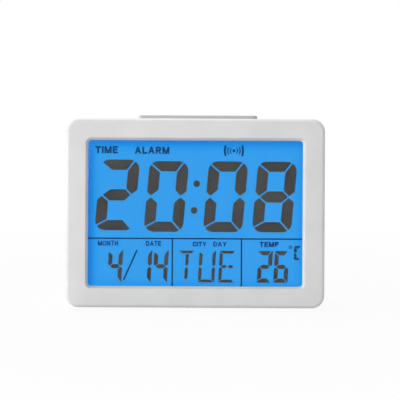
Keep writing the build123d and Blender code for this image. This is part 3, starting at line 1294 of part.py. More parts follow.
# Washer-head screws that clamp the loudspeaker's rim
with BuildPart() as speaker_screws:
    for x, z in speaker_screw_places:
        washer_top = PANEL_INNER - SPEAKER_RIM_T - SPEAKER_WASHER_T
        add(pan_screw(seat(x, washer_top, z, BACK * -1), SPEAKER_WASHER_T + SPEAKER_RIM_T + WALL / 2))
        with BuildSketch(depth_plane(PANEL_INNER - SPEAKER_RIM_T)):
            with Locations((x, z)):
                Circle(SPEAKER_WASHER_R)
        extrude(amount=SPEAKER_WASHER_T)
save(speaker_screws.part, "speaker_screws")

# Leads from the loudspeaker rim to the main board
with BuildPart() as speaker_leads:
    lead_x = SPEAKER_X - SPEAKER_R + SPEAKER_RIM / 2
    lead_start = PANEL_INNER - SPEAKER_RIM_T
    lead_middle = (lead_start + MAIN_BOARD_END) / 2
    for side in (-1, 1):
        lead_z = SPEAKER_Z + side * 2 * WIRE_R
        add(
            wire_run(
                [
                    point(lead_x, lead_start, lead_z),
                    point(lead_x, lead_middle + 2 * WIRE_BEND, lead_z),
                    point(lead_x + WIRE_BEND, lead_middle - 2 * WIRE_BEND, lead_z),
                    point(lead_x + WIRE_BEND, MAIN_BOARD_END, lead_z),
                ],
                WIRE_BEND,
            )
        )
save(speaker_leads.part, "speaker_leads")

# Leads from the battery bay to the main board
with BuildPart() as battery_leads:
    for x, z in battery_lead_places:
        board_x = max(min(x, MAIN_BOARD_W / 2 - 2 * WIRE_BEND), -MAIN_BOARD_W / 2 + 2 * WIRE_BEND)
        jog = board_x - x if abs(board_x - x) > WIRE_BEND else WIRE_BEND
        add(
            wire_run(
                [
                    point(x, BAY_FLOOR, z),
                    point(x, BAY_FLOOR - BAY_WALL - WIRE_BEND, z),
                    point(x + jog, MAIN_BOARD_END + WIRE_DROP, z),
                    point(x + jog, MAIN_BOARD_END, z),
                ],
                WIRE_BEND,
            )
        )
save(battery_leads.part, "battery_leads")

# Ribbons from the key board and the talk board to the main board
with BuildPart() as board_ribbons:
    main_top = MAIN_BOARD_LOW + MAIN_BOARD_H
    ribbon_depth = MAIN_BOARD_END + 2 * RIBBON_BEND
    add(
        ribbon(
            -RIBBON_W,
            [
                (KEY_BOARD_AT, KEY_Z - KEY_RIBBON_DROP),
                (ribbon_depth, KEY_Z - KEY_RIBBON_DROP),
                (ribbon_depth, main_top - RIBBON_BEND),
                (MAIN_BOARD_END, main_top - RIBBON_BEND),
            ],
        )
    )
    add(
        ribbon(
            RIBBON_W,
            [
                (TALK_DEPTH, TALK_BOARD_TOP - BOARD_T),
                (TALK_DEPTH, main_top - RIBBON_BEND),
                (MAIN_BOARD_END, main_top - RIBBON_BEND),
            ],
        )
    )
save(board_ribbons.part, "board_ribbons")
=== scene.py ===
import json
import math
import bmesh
import bpy
from mathutils import Matrix, Vector


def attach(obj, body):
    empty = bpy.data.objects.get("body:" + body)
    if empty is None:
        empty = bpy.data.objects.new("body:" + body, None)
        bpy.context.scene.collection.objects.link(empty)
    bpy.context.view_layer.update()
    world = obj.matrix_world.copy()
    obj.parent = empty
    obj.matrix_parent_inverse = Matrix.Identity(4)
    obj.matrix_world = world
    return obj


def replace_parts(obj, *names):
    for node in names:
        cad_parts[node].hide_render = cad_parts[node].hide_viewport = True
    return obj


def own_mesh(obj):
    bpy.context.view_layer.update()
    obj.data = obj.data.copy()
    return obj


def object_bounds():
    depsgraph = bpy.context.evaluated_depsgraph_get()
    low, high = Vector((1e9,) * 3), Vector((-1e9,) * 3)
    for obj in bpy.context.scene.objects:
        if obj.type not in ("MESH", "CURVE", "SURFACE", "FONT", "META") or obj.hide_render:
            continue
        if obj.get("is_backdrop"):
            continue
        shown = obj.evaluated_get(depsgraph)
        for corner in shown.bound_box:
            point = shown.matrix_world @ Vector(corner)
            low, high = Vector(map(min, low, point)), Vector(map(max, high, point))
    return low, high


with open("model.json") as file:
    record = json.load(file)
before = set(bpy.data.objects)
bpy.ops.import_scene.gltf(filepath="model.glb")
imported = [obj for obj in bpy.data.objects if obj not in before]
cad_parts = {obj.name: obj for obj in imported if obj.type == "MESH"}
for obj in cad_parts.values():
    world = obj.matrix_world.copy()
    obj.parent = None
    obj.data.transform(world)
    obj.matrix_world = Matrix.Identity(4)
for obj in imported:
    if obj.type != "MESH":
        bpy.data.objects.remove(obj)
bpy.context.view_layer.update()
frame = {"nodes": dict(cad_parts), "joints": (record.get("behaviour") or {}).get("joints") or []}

# Front bezel: the white frame round the display, the front half of the case.
# It is injection moulded in ABS with a fine spark-eroded grain, and the rear cover's lip slides into it.
MM = 0.001
RIGHT = Vector((1, 0, 0))
joints = {joint["name"]: joint for joint in frame["joints"]}
UP = -Vector(joints["talk_bar_press"]["axis"]).normalized()
BACK = -Vector(joints["mode_key_press"]["axis"]).normalized()
LEAN = math.atan2(BACK.z, BACK.y)


def reach(node, way):
    """Least and greatest distance of a CAD node along a direction, in metres."""
    spans = [way.dot(corner.co) for corner in frame["nodes"][node].data.vertices]
    return min(spans), max(spans)


face_zero = BACK * reach("front_bezel", BACK)[0] + UP * reach("front_bezel", UP)[0]


def on_clock(x, depth, height):
    """A place from millimetres to the right, behind the face and up the face."""
    return face_zero + (RIGHT * x + BACK * depth + UP * height) * MM


def span(node, way):
    """Least and greatest millimetres of a node to the right, behind the face or up the face."""
    low, high = reach(node, way)
    return (low - way.dot(face_zero)) / MM, (high - way.dot(face_zero)) / MM


def set_inputs(tree, node, inputs):
    """Set a node's inputs to values, or link them from a socket or a list of sockets."""
    for name, value in inputs.items():
        for source in value if isinstance(value, list) else [value]:
            if isinstance(source, bpy.types.NodeSocket):
                tree.links.new(source, node.inputs[name])
            else:
                node.inputs[name].default_value = source


def add_node(tree, kind, inputs, **settings):
    """New node with its settings and inputs, which gives its first output in use."""
    node = tree.nodes.new(kind)
    for setting, value in settings.items():
        setattr(node, setting, value)
    set_inputs(tree, node, inputs)
    return next((output for output in node.outputs if output.enabled), None)


def new_finish(name):
    """Node material, its tree, its shader and its Object coordinates."""
    finish = bpy.data.materials.new(name)
    finish.use_nodes = True
    tree = finish.node_tree
    place = tree.nodes.new("ShaderNodeTexCoord").outputs["Object"]
    return finish, tree, tree.nodes["Principled BSDF"], place


def add_noise(tree, place, scale, detail=3.0, stretch=(1, 1, 1)):
    """Noise on the surface, with features of about one part in scale of a metre."""
    stretched = add_node(tree, "ShaderNodeMapping", {"Vector": place, "Scale": stretch})
    return add_node(tree, "ShaderNodeTexNoise", {"Vector": stretched, "Scale": scale, "Detail": detail})


def add_ramp(tree, value, stops):
    """Colours along a value, as (position, colour) stops."""
    colours = add_node(tree, "ShaderNodeValToRGB", {"Fac": value})
    elements = colours.node.color_ramp.elements
    while len(elements) < len(stops):
        elements.new(1.0)
    for element, (position, colour) in zip(elements, stops):
        element.position = position
        element.color = (*colour, 1)
    return colours


def add_range(tree, value, low, high, start=0.0, end=1.0):
    """A value carried from one range to another, smoothly held at both ends."""
    ends = {"Value": value, "From Min": low, "From Max": high, "To Min": start, "To Max": end}
    return add_node(tree, "ShaderNodeMapRange", ends, interpolation_type="SMOOTHSTEP")


def add_bump(tree, height, strength, depth):
    """Relief from a height, with its depth in millimetres."""
    return add_node(tree, "ShaderNodeBump", {"Height": height, "Strength": strength, "Distance": depth * MM})


NOISE_LOW, NOISE_HIGH = 0.3, 0.7


def add_gloss(tree, noise, least, most):
    """Roughness that follows a noise between two values."""
    return add_range(tree, noise, NOISE_LOW, NOISE_HIGH, least, most)


FLOW_SCALE, GRAIN_DEPTH, GRAIN_GLOSS = 60, 0.04, 0.06


def moulded(name, colour, roughness, mottle=0.03, grain=2600, relief=0.12):
    """Moulded plastic or rubber: faint flow mottling in the colour and a fine grain in the surface."""
    finish, tree, shader, place = new_finish(name)
    darker = [channel * (1 - mottle) for channel in colour]
    lighter = [min(1, channel * (1 + mottle)) for channel in colour]
    flow = add_noise(tree, place, FLOW_SCALE)
    fine = add_noise(tree, place, grain, 2)
    set_inputs(tree, shader, {
        "Base Color": add_ramp(tree, flow, [(NOISE_LOW, darker), (NOISE_HIGH, lighter)]),
        "Roughness": add_gloss(tree, fine, roughness - GRAIN_GLOSS, roughness + GRAIN_GLOSS),
        "Normal": add_bump(tree, fine, relief, GRAIN_DEPTH),
    })
    return finish


SOCKET_KINDS = {"Geometry": "NodeSocketGeometry", "Finish": "NodeSocketMaterial"}


def new_tree(name, *takes):
    """Tree of geometry nodes with named inputs, the sockets that give them, and their identifiers."""
    tree = bpy.data.node_groups.new(name, "GeometryNodeTree")
    labels = {}
    for socket in takes:
        kind = SOCKET_KINDS.get(socket, "NodeSocketFloat")
        labels[socket] = tree.interface.new_socket(socket, in_out="INPUT", socket_type=kind).identifier
    tree.interface.new_socket("Geometry", in_out="OUTPUT", socket_type="NodeSocketGeometry")
    return tree, tree.nodes.new("NodeGroupInput").outputs, labels


def shading_tree():
    """Tree that welds loose triangles for shading and creases the edges that meet sharply."""
    tree, given, labels = new_tree("even_shading", "Geometry", "Weld", "Crease Angle")
    plain = add_node(tree, "GeometryNodeRemoveAttribute", {
        "Geometry": given["Geometry"],
        "Name": "custom_normal",
    })
    weld = add_node(tree, "GeometryNodeMergeByDistance", {"Geometry": plain, "Distance": given["Weld"]})
    smooth = add_node(tree, "GeometryNodeSetShadeSmooth", {"Geometry": weld})
    angles = {"A": add_node(tree, "GeometryNodeInputMeshEdgeAngle", {}), "B": given["Crease Angle"]}
    creased = add_node(tree, "GeometryNodeSetShadeSmooth", {
        "Geometry": smooth,
        "Selection": add_node(tree, "FunctionNodeCompare", angles, operation="GREATER_THAN"),
        "Shade Smooth": False,
    }, domain="EDGE")
    add_node(tree, "NodeGroupOutput", {"Geometry": creased})
    return tree, labels


even_shading, shading_labels = shading_tree()
WELD, CREASE = 0.002, math.radians(24)


def dress(finish, *names):
    """Give CAD nodes a finish and even shading."""
    for name in names:
        piece = frame["nodes"][name]
        piece.data.materials.clear()
        piece.data.materials.append(finish)
        shading = piece.modifiers.new("even_shading", "NODES")
        shading.node_group = even_shading
        shading[shading_labels["Weld"]] = WELD * MM
        shading[shading_labels["Crease Angle"]] = CREASE


ABS_WHITE = (0.78, 0.78, 0.775)
white_abs = moulded("white_abs", ABS_WHITE, 0.46)
dress(white_abs, "front_bezel")

# Display lens: a clear acrylic plate bonded behind the window, polished on both sides.
# Faint wiping marks change its gloss a little.
WIPE_SCALE, WIPE_LOW, WIPE_HIGH = 90, 0.35, 0.65
WIPE_PALER, WIPE_GLOSS = 1.01, 0.02


def clear_plate(name, tint, ior, roughness):
    """Clear sheet that lets the layers behind show through, with a slight change of gloss."""
    finish, tree, shader, place = new_finish(name)
    wipes = add_noise(tree, place, WIPE_SCALE, 4)
    paler = [min(1, channel * WIPE_PALER) for channel in tint]
    set_inputs(tree, shader, {
        "Transmission Weight": 1.0,
        "IOR": ior,
        "Base Color": add_ramp(tree, wipes, [(WIPE_LOW, tint), (WIPE_HIGH, paler)]),
        "Roughness": add_range(tree, wipes, WIPE_LOW, WIPE_HIGH, roughness, roughness + WIPE_GLOSS),
    })
    return finish


dress(clear_plate("lens_acrylic", (0.99, 0.99, 0.99), 1.15, 0.0), "display_lens")

# Front of the display cell: the front glass with its polarising film bonded to it, ground at the edges.
# It stands for both layers of the CAD model and keeps a hair's breadth from the figures behind it.
GROUND_EDGE, HAIR, MERGE = 0.15, 0.02, 0.0005


def as_piece(name, mesh, finish, body):
    """Finished mesh as a piece that rides on a body and takes a slot's finish."""
    mesh.materials.clear()
    mesh.materials.append(finish)
    piece = bpy.data.objects.new(name, mesh)
    bpy.context.scene.collection.objects.link(piece)
    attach(piece, body)
    return piece


def outward_mesh(name, shape):
    """Mesh from a bmesh, with its faces turned outwards."""
    bmesh.ops.recalc_face_normals(shape, faces=shape.faces)
    mesh = bpy.data.meshes.new(name)
    shape.to_mesh(mesh)
    shape.free()
    return mesh


def solid_mesh(name, shape):
    """Mesh from a bmesh, with its doubles merged before its faces are turned outwards."""
    bmesh.ops.remove_doubles(shape, verts=shape.verts, dist=MERGE * MM)
    bmesh.ops.dissolve_degenerate(shape, edges=shape.edges, dist=MERGE * MM)
    return outward_mesh(name, shape)


glass_left, glass_right = span("lcd_front_glass", RIGHT)
glass_low, glass_top = span("lcd_front_glass", UP)
glass_front = span("lcd_front_polariser", BACK)[0] + HAIR
glass_rear = span("lcd_front_glass", BACK)[1] - HAIR
glass_steps = (
    (glass_front, GROUND_EDGE),
    (glass_front + GROUND_EDGE, 0),
    (glass_rear - GROUND_EDGE, 0),
    (glass_rear, GROUND_EDGE),
)
glass_shape = bmesh.new()
glass_rings = []
for depth, inset in glass_steps:
    left, right = glass_left + inset, glass_right - inset
    low, top = glass_low + inset, glass_top - inset
    corners = ((left, low), (right, low), (right, top), (left, top))
    glass_rings.append([glass_shape.verts.new(on_clock(x, depth, z)) for x, z in corners])
for ring, after in zip(glass_rings, glass_rings[1:]):
    for side in range(len(ring)):
        glass_shape.faces.new((ring[side], ring[side - 1], after[side - 1], after[side]))
for ring in (glass_rings[0], glass_rings[-1]):
    glass_shape.faces.new(ring)
display_glass = clear_plate("display_glass", (0.99, 1.0, 1.0), 1.02, 0.0)
glass_mesh = solid_mesh("display_front", glass_shape)
display_front = as_piece("display_front", glass_mesh, display_glass, "case")
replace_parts(display_front, "lcd_front_polariser", "lcd_front_glass")

# Display figures: the segments that the liquid crystal turns dark, between the two glasses.
# Their tone varies very slightly from place to place, as the crystal layer does.
# The slash and the degree sign are narrow, and the light of the field makes them bluer.
SEGMENT_TONE, NARROW_TONE = (0.07, 0.068, 0.065), (0.006, 0.03, 0.1)
SLASH_X, SLASH_HALF = -34.3, 4.05
DEGREE_X, TONE_STEP = 49.4, 0.05


def matt_ink(name, colour):
    """Ink or darkened crystal without gloss, a little uneven in tone."""
    ink = moulded(name, colour, 0.6, 0.08, 900, 0.02)
    ink.node_tree.nodes["Principled BSDF"].inputs["Specular IOR Level"].default_value = 0.0
    return ink


def add_maths(tree, operation, *values):
    """Result of an operation on numbers or sockets."""
    return add_node(tree, "ShaderNodeMath", dict(enumerate(values)), operation=operation)


def x_place(tree):
    """Metres to the right of the clock's middle, from a finish's Object coordinates."""
    place = tree.nodes["Texture Coordinate"].outputs["Object"]
    return add_node(tree, "ShaderNodeSeparateXYZ", {"Vector": place}).node.outputs["X"]


def add_second_tone(tree, share, colour):
    """Turn a finish's colour to a second one, by a share from nought to one."""
    painted = tree.nodes["Principled BSDF"].inputs["Base Color"]
    tones = {"Factor": share, "A": painted.links[0].from_socket, "B": (*colour, 1)}
    tree.links.new(add_node(tree, "ShaderNodeMix", tones, data_type="RGBA"), painted)


dress(matt_ink("segment_ink", SEGMENT_TONE), "lcd_time_digits")
lower_ink = matt_ink("lower_ink", SEGMENT_TONE)
tree = lower_ink.node_tree
figure_x = x_place(tree)
in_slash = add_maths(tree, "COMPARE", figure_x, SLASH_X * MM, SLASH_HALF * MM)
past_figures = add_range(tree, figure_x, (DEGREE_X - TONE_STEP) * MM, (DEGREE_X + TONE_STEP) * MM)
add_second_tone(tree, add_maths(tree, "MAXIMUM", in_slash, past_figures), NARROW_TONE)
dress(lower_ink, "lcd_lower_digits")

# Printed rules and words of the display: dark blue ink on the inner glass.
# The words name what each group of figures shows, in capitals of even strokes.
rule_ink = matt_ink("rule_ink", (0.008, 0.025, 0.06))
word_ink = matt_ink("word_ink", (0.007, 0.052, 0.18))
small_word_ink = matt_ink("small_word_ink", (0.001, 0.006, 0.17))
dress(rule_ink, "lcd_rules")
INK_SINK = 0.02
figures_front, figures_rear = span("lcd_time_digits", BACK)
ink_base, ink_top = figures_rear - INK_SINK, figures_front + INK_SINK


def add_band(shape, inner, outer, base, top, closed=False):
    """Solid band between two lines of x and height, from one depth to another."""
    rows = []
    for line in (inner, outer):
        for depth in (base, top):
            rows.append([shape.verts.new(on_clock(x, depth, z)) for x, z in line])
    sides = ((rows[0], rows[2]), (rows[1], rows[3]), (rows[0], rows[1]), (rows[2], rows[3]))
    count = len(inner)
    for step in range(count if closed else count - 1):
        after = (step + 1) % count
        for near, far in sides:
            shape.faces.new((near[step], near[after], far[after], far[step]))
    if not closed:
        for end in (0, -1):
            shape.faces.new((rows[0][end], rows[1][end], rows[3][end], rows[2][end]))


MITRE_LIMIT = 0.5


def stroke_edges(path, width):
    """Both edges of a stroke of even width along a path, mitred at its turns, and whether it closes."""
    spots = [Vector(spot) for spot in path]
    closed = spots[0] == spots[-1]
    if closed:
        spots.pop()
    count = len(spots)
    edges = ([], [])
    for index, spot in enumerate(spots):
        runs = []
        if closed or index > 0:
            runs.append((spot - spots[index - 1]).normalized())
        if closed or index < count - 1:
            runs.append((spots[(index + 1) % count] - spot).normalized())
        run = (runs[0] + runs[-1]).normalized()
        side = Vector((-run.y, run.x)) * (width / 2 / max(MITRE_LIMIT, run.dot(runs[0])))
        if len(runs) == 1:
            spot = spot + run * (width / 2 if index else -width / 2)
        edges[0].append(spot - side)
        edges[1].append(spot + side)
    return edges, closed


def end_tree(tree, given, geometry):
    """Make a tree's instances real, give them its finish and hand them out."""
    real = add_node(tree, "GeometryNodeRealizeInstances", {"Geometry": geometry})
    coated = add_node(tree, "GeometryNodeSetMaterial", {"Geometry": real, "Material": given["Finish"]})
    add_node(tree, "NodeGroupOutput", {"Geometry": coated})


def grown_mesh(name, tree, labels, sizes, seed_mesh=None):
    """Plain mesh that a tree makes from its named inputs, and from a first mesh where it takes one."""
    seed_mesh = seed_mesh or bpy.data.meshes.new(name)
    grower = bpy.data.objects.new(name, seed_mesh)
    bpy.context.scene.collection.objects.link(grower)
    growth = grower.modifiers.new("growth", "NODES")
    growth.node_group = tree
    for size, value in sizes.items():
        growth[labels[size]] = value
    bpy.context.view_layer.update()
    mesh = bpy.data.meshes.new_from_object(grower.evaluated_get(bpy.context.evaluated_depsgraph_get()))
    grower.modifiers.remove(growth)
    bpy.data.objects.remove(grower)
    bpy.data.meshes.remove(seed_mesh)
    mesh.name = name
    return mesh


def stroke_tree():
    """Tree that makes strokes that overlap one solid, with no walls inside."""
    tree, given, labels = new_tree("joined_strokes", "Geometry", "Finish")
    strokes = {"Mesh 2": given["Geometry"], "Self Intersection": True}
    joined = add_node(tree, "GeometryNodeMeshBoolean", strokes, operation="UNION", solver="EXACT")
    end_tree(tree, given, joined)
    return tree, labels


joined_strokes = stroke_tree()
BOWL = ((0, 1), (0.58, 1), (0.88, 0.93), (1, 0.76), (0.88, 0.57), (0.58, 0.5), (0, 0.5))
ROUND = (
    (0.5, 0), (0.8, 0.06), (1, 0.3), (1, 0.7), (0.8, 0.94),
    (0.5, 1), (0.2, 0.94), (0, 0.7), (0, 0.3), (0.2, 0.06),
)
SNAKE = (
    (1, 0.74), (0.84, 0.94), (0.5, 1), (0.16, 0.94), (0, 0.76), (0.16, 0.58),
    (0.84, 0.42), (1, 0.24), (0.84, 0.06), (0.5, 0), (0.16, 0.06), (0, 0.26),
)
BELLY = ((0, 0), (0.6, 0), (0.87, 0.1), (1, 0.34), (1, 0.66), (0.87, 0.9), (0.6, 1), (0, 1))
CUP = ((0, 1), (0, 0.3), (0.18, 0.06), (0.5, 0), (0.82, 0.06), (1, 0.3), (1, 1))
STEM, FAR_STEM = ((0, 0), (0, 1)), ((1, 0), (1, 1))
# Each letter has its share of a word's width, its even strokes and its slanting strokes.
LETTERS = {
    "A": (0.95, [((0.2, 0.28), (0.8, 0.28))], [((0, 0), (0.5, 1)), ((1, 0), (0.5, 1))]),
    "C": (0.88, [((1, 0.26), *ROUND[1::-1], *ROUND[:3:-1], (1, 0.74))], []),
    "D": (0.84, [STEM, BELLY], []),
    "E": (0.74, [STEM, ((0, 0), (1, 0)), ((0, 0.52), (0.88, 0.52)), ((0, 1), (1, 1))], []),
    "F": (0.7, [STEM, ((0, 0.5), (0.85, 0.5)), ((0, 1), (1, 1))], []),
    "H": (0.8, [STEM, FAR_STEM, ((0, 0.52), (1, 0.52))], []),
    "I": (0.22, [((0.5, 0), (0.5, 1))], []),
    "L": (0.7, [STEM, ((0, 0), (1, 0))], []),
    "M": (1.02, [STEM, FAR_STEM], [((0.5, 0), (0.04, 1)), ((0.5, 0), (0.96, 1))]),
    "N": (0.8, [STEM, FAR_STEM], [((1, 0), (0, 1))]),
    "O": (0.95, [(*ROUND, ROUND[0])], []),
    "P": (0.78, [STEM, BOWL], []),
    "R": (0.84, [STEM, BOWL], [((1, 0), (0.5, 0.5))]),
    "S": (0.82, [SNAKE], []),
    "T": (0.8, [((0, 1), (1, 1)), ((0.5, 0), (0.5, 1))], []),
    "U": (0.82, [CUP], []),
    "W": (1.3, [], [((0.25, 0), (0, 1)), ((0.25, 0), (0.5, 1)), ((0.75, 0), (0.5, 1)), ((0.75, 0), (1, 1))]),
    "Y": (0.92, [((0.5, 0), (0.5, 0.4))], [((0.5, 0.4), (0, 1)), ((0.5, 0.4), (1, 1))]),
}
LETTER_GAP, SLANT_SHARE = 0.14, 0.92


def lettering(name, words, box, base, top, weight, ink):
    """Capitals of even strokes fitted to a box of x and height, standing from one depth to another."""
    left, right, low, high = box
    way, height = (1 if right > left else -1), high - low
    stroke = weight * height
    natural = sum(LETTERS[letter][0] for letter in words) + LETTER_GAP * (len(words) - 1)
    stretch = abs(right - left) / natural
    shape = bmesh.new()
    start = stroke / 2
    for letter in words:
        share, paths, slants = LETTERS[letter]
        run = share * stretch - stroke
        for path in paths:
            spots = [(start + u * run, low + stroke / 2 + v * (height - stroke)) for u, v in path]
            edges, closed = stroke_edges(spots, stroke)
            edges = [[(left + way * x, z) for x, z in edge] for edge in edges]
            add_band(shape, *edges, base, top, closed)
        for ends in slants:
            spots = [(start + u * run, low + v * height) for u, v in ends]
            lean = (spots[1][0] - spots[0][0]) / (spots[1][1] - spots[0][1])
            half = stroke / 2 * math.sqrt(1 + lean * lean) * SLANT_SHARE
            edges = [[(left + way * (x + side * half), z) for x, z in spots] for side in (-1, 1)]
            add_band(shape, *edges, base, top)
        start += (share + LETTER_GAP) * stretch
    return grown_mesh(name, *joined_strokes, {"Finish": ink}, outward_mesh(name, shape))


# Each word has its box as left, right, foot and head, and its stroke as a share of its height.
DISPLAY_WORDS = (
    ("word_time", "TIME", (-53.2, -41.2, 81.45, 85.3), 0.245, word_ink),
    ("word_alarm", "ALARM", (-32.3, -13.9, 81.3, 85.15), 0.245, word_ink),
    ("word_month", "MONTH", (-51.6, -40.9, 32.5, 35.15), 0.18, small_word_ink),
    ("word_date", "DATE", (-26.1, -18.0, 32.45, 35.1), 0.19, small_word_ink),
    ("word_city", "CITY", (-1.3, 5.9, 32.3, 34.85), 0.22, small_word_ink),
    ("word_day", "DAY", (9.65, 16.65, 32.35, 34.9), 0.21, small_word_ink),
    ("word_temp", "TEMP", (34.2, 44.3, 32.2, 34.95), 0.24, small_word_ink),
)
for name, words, box, weight, ink in DISPLAY_WORDS:
    as_piece(name, lettering(name, words, box, ink_base, ink_top, weight, ink), ink, "case")

# Sound mark of the display: a dot with curved waves on both sides, in the same printed ink.
# Each wave is an arc about its own centre, so that the outer ones are flatter.
SOUND_AT, SOUND_DOT_R, ARC_STEPS = (20.3, 83.15), 0.78, 10
# Each wave has its distance from the dot, its radius, its stroke and half its height.
SOUND_WAVES = ((1.9, 1.95, 0.62, 1.3), (3.3, 3.3, 0.68, 1.85), (4.8, 8.5, 1.05, 2.85))


def arc_line(x, z, radius, start, end):
    """Points of an arc in x and height, between two angles in degrees."""
    turns = [math.radians(start + (end - start) * step / ARC_STEPS) for step in range(ARC_STEPS + 1)]
    return [(x + radius * math.cos(turn), z + radius * math.sin(turn)) for turn in turns]


sound_shape = bmesh.new()
dot_sides = [arc_line(*SOUND_AT, SOUND_DOT_R, 90, 90 + way * 180) for way in (1, -1)]
add_band(sound_shape, *dot_sides, ink_base, ink_top)
for side in (-1, 1):
    facing = 0 if side > 0 else 180
    for out, radius, stroke, half_height in SOUND_WAVES:
        centre_x = SOUND_AT[0] + side * (out - radius)
        half_angle = math.degrees(math.asin(half_height / radius))
        wave_ends = (facing - half_angle, facing + half_angle)
        wave_radii = (radius - stroke / 2, radius + stroke / 2)
        wave_edges = [arc_line(centre_x, SOUND_AT[1], edge, *wave_ends) for edge in wave_radii]
        add_band(sound_shape, *wave_edges, ink_base, ink_top)
as_piece("sound_mark", solid_mesh("sound_mark", sound_shape), word_ink, "case")

# Temperature sign of the display: the small C beside the degree ring, in ink over the segments that carry it.
# Its two bent strokes nearly meet halfway up the back of the letter.
SIGN_STROKE, SIGN_PROUD = 1.12, 0.01
SIGN_HALVES = (
    ((54.98, 32.34), (53.42, 32.34), (52.95, 31.85), (52.93, 29.95)),
    ((52.88, 28.36), (52.84, 26.34), (53.19, 25.98), (54.51, 25.98)),
)
sign_shape = bmesh.new()
for path in SIGN_HALVES:
    sign_edges, closed = stroke_edges(path, SIGN_STROKE)
    add_band(sign_shape, *sign_edges, ink_base, figures_front - SIGN_PROUD, closed)
sign_ink = matt_ink("sign_ink", (0.02, 0.07, 0.18))
as_piece("temperature_sign", solid_mesh("temperature_sign", sign_shape), sign_ink, "case")

# Rear of the display cell: the rear glass, which glows blue with the light behind it, and the epoxy seal.
# The glow is even over most of the field and deepens towards the edges, most at the left and top.
LENS_LAND, CELL_MOTTLE = 1.0, 400
GLOW_TONES = ((0.0, (0.03, 0.335, 0.835)), (0.45, (0.012, 0.3, 0.825)), (1.0, (0.004, 0.2, 0.7)))
MOTTLE_TONES = ((NOISE_LOW, (0.985, 0.985, 0.985)), (NOISE_HIGH, (1.0, 1.0, 1.0)))
lens_left, lens_right = span("display_lens", RIGHT)
lens_low, lens_top = span("display_lens", UP)
# Each edge has its axis, its place, how far the shade fades inwards from it, and how deep it is.
GLOW_EDGES = (
    ("X", lens_left + LENS_LAND, 6.5, 1.0),
    ("X", lens_right - LENS_LAND, -6.0, 0.45),
    ("Z", lens_low + LENS_LAND, 5.0, 0.45),
    ("Z", lens_top - LENS_LAND, -7.0, 0.9),
)
lit_cell, tree, shader, place = new_finish("lit_cell")
face_frame = {"Vector": place, "Location": face_zero, "Rotation": (LEAN, 0, 0)}
on_face = add_node(tree, "ShaderNodeMapping", face_frame, vector_type="TEXTURE")
axes = add_node(tree, "ShaderNodeSeparateXYZ", {"Vector": on_face}).node.outputs
edge_shade = 0.0
for axis, edge, fade, amount in GLOW_EDGES:
    shade = add_range(tree, axes[axis], edge * MM, (edge + fade) * MM, amount, 0.0)
    edge_shade = add_maths(tree, "MAXIMUM", edge_shade, shade)
glow = add_ramp(tree, edge_shade, GLOW_TONES)
mottle = add_ramp(tree, add_noise(tree, place, CELL_MOTTLE, 2), MOTTLE_TONES)
uneven = {"Factor": 1.0, "A": glow, "B": mottle}
set_inputs(tree, shader, {
    "Emission Color": add_node(tree, "ShaderNodeMix", uneven, data_type="RGBA", blend_type="MULTIPLY"),
    "Emission Strength": 1.0,
    "Base Color": (0.002, 0.006, 0.012, 1),
    "Specular IOR Level": 0.0,
})
dress(lit_cell, "lcd_rear_glass")
dress(moulded("epoxy_seal", (0.55, 0.56, 0.52), 0.3, 0.06, 700), "lcd_seal")
dress(clear_plate("rear_polariser", (0.75, 0.88, 1.0), 1.3, 0.1), "lcd_rear_polariser")

# Backlight: milky diffuser, acrylic guide lit from its left edge, white reflector film and a strip of LEDs.
# The films lie loose in the tray, and the LEDs are soldered to their narrow board.
# Copper tracks show through the board's green mask as lighter lines.
dress(moulded("milky_film", (0.3, 0.6, 0.9), 0.5, 0.02, 1800), "backlight_diffuser")
dress(clear_plate("guide_acrylic", (0.93, 0.97, 1.0), 1.49, 0.04), "light_guide")
dress(moulded("reflector_film", (0.88, 0.88, 0.87), 0.35, 0.02, 1500), "backlight_reflector")
dress(moulded("led_cups", (0.85, 0.78, 0.45), 0.3, 0.05, 1500), "backlight_leds")
TRACK_PITCH, TRACK_RELIEF, TRACK_DEPTH = 6.0, 0.3, 0.03
board_green, tree, shader, place = new_finish("solder_mask")
tracks = add_node(tree, "ShaderNodeTexBrick", {
    "Vector": add_node(tree, "ShaderNodeMapping", {"Vector": place, "Rotation": (LEAN + math.pi / 2, 0, 0)}),
    "Scale": 1 / (TRACK_PITCH * MM),
    "Mortar Size": 0.03,
    "Mortar Smooth": 0.1,
    "Color1": (0.012, 0.11, 0.045, 1),
    "Color2": (0.016, 0.14, 0.058, 1),
    "Mortar": (0.04, 0.24, 0.1, 1),
})
set_inputs(tree, shader, {
    "Base Color": tracks,
    "Roughness": add_gloss(tree, add_noise(tree, place, 1200, 2), 0.28, 0.4),
    "Normal": add_bump(tree, tracks.node.outputs["Fac"], TRACK_RELIEF, TRACK_DEPTH),
})
dress(board_green, "backlight_board")

# Display holder: a plain white tray that clamps the display stack into the bezel with four screws.
# The screws are zinc-plated steel with cross recesses.
dress(moulded("tray_white", (0.7, 0.7, 0.69), 0.55, 0.03, 1600), "display_chassis")
DULL_SHARE, METAL_GLOSS, METAL_RELIEF, METAL_DEPTH = 0.86, 0.07, 0.1, 0.02


def metal(name, colour, roughness, streak=(1, 1, 1), grain=900):
    """Bare or plated metal: gloss and tone vary along the way that it was drawn, turned or plated."""
    finish, tree, shader, place = new_finish(name)
    marks = add_noise(tree, place, grain, 4, streak)
    duller = [channel * DULL_SHARE for channel in colour]
    set_inputs(tree, shader, {
        "Base Color": add_ramp(tree, marks, [(NOISE_LOW, duller), (NOISE_HIGH, colour)]),
        "Roughness": add_gloss(tree, marks, roughness - METAL_GLOSS, roughness + METAL_GLOSS),
        "Metallic": 1.0,
        "Normal": add_bump(tree, marks, METAL_RELIEF, METAL_DEPTH),
    })
    return finish


screw_zinc = metal("screw_zinc", (0.66, 0.66, 0.67), 0.3)
dress(screw_zinc, "chassis_screws", "cover_screws", "board_screws", "speaker_screws")

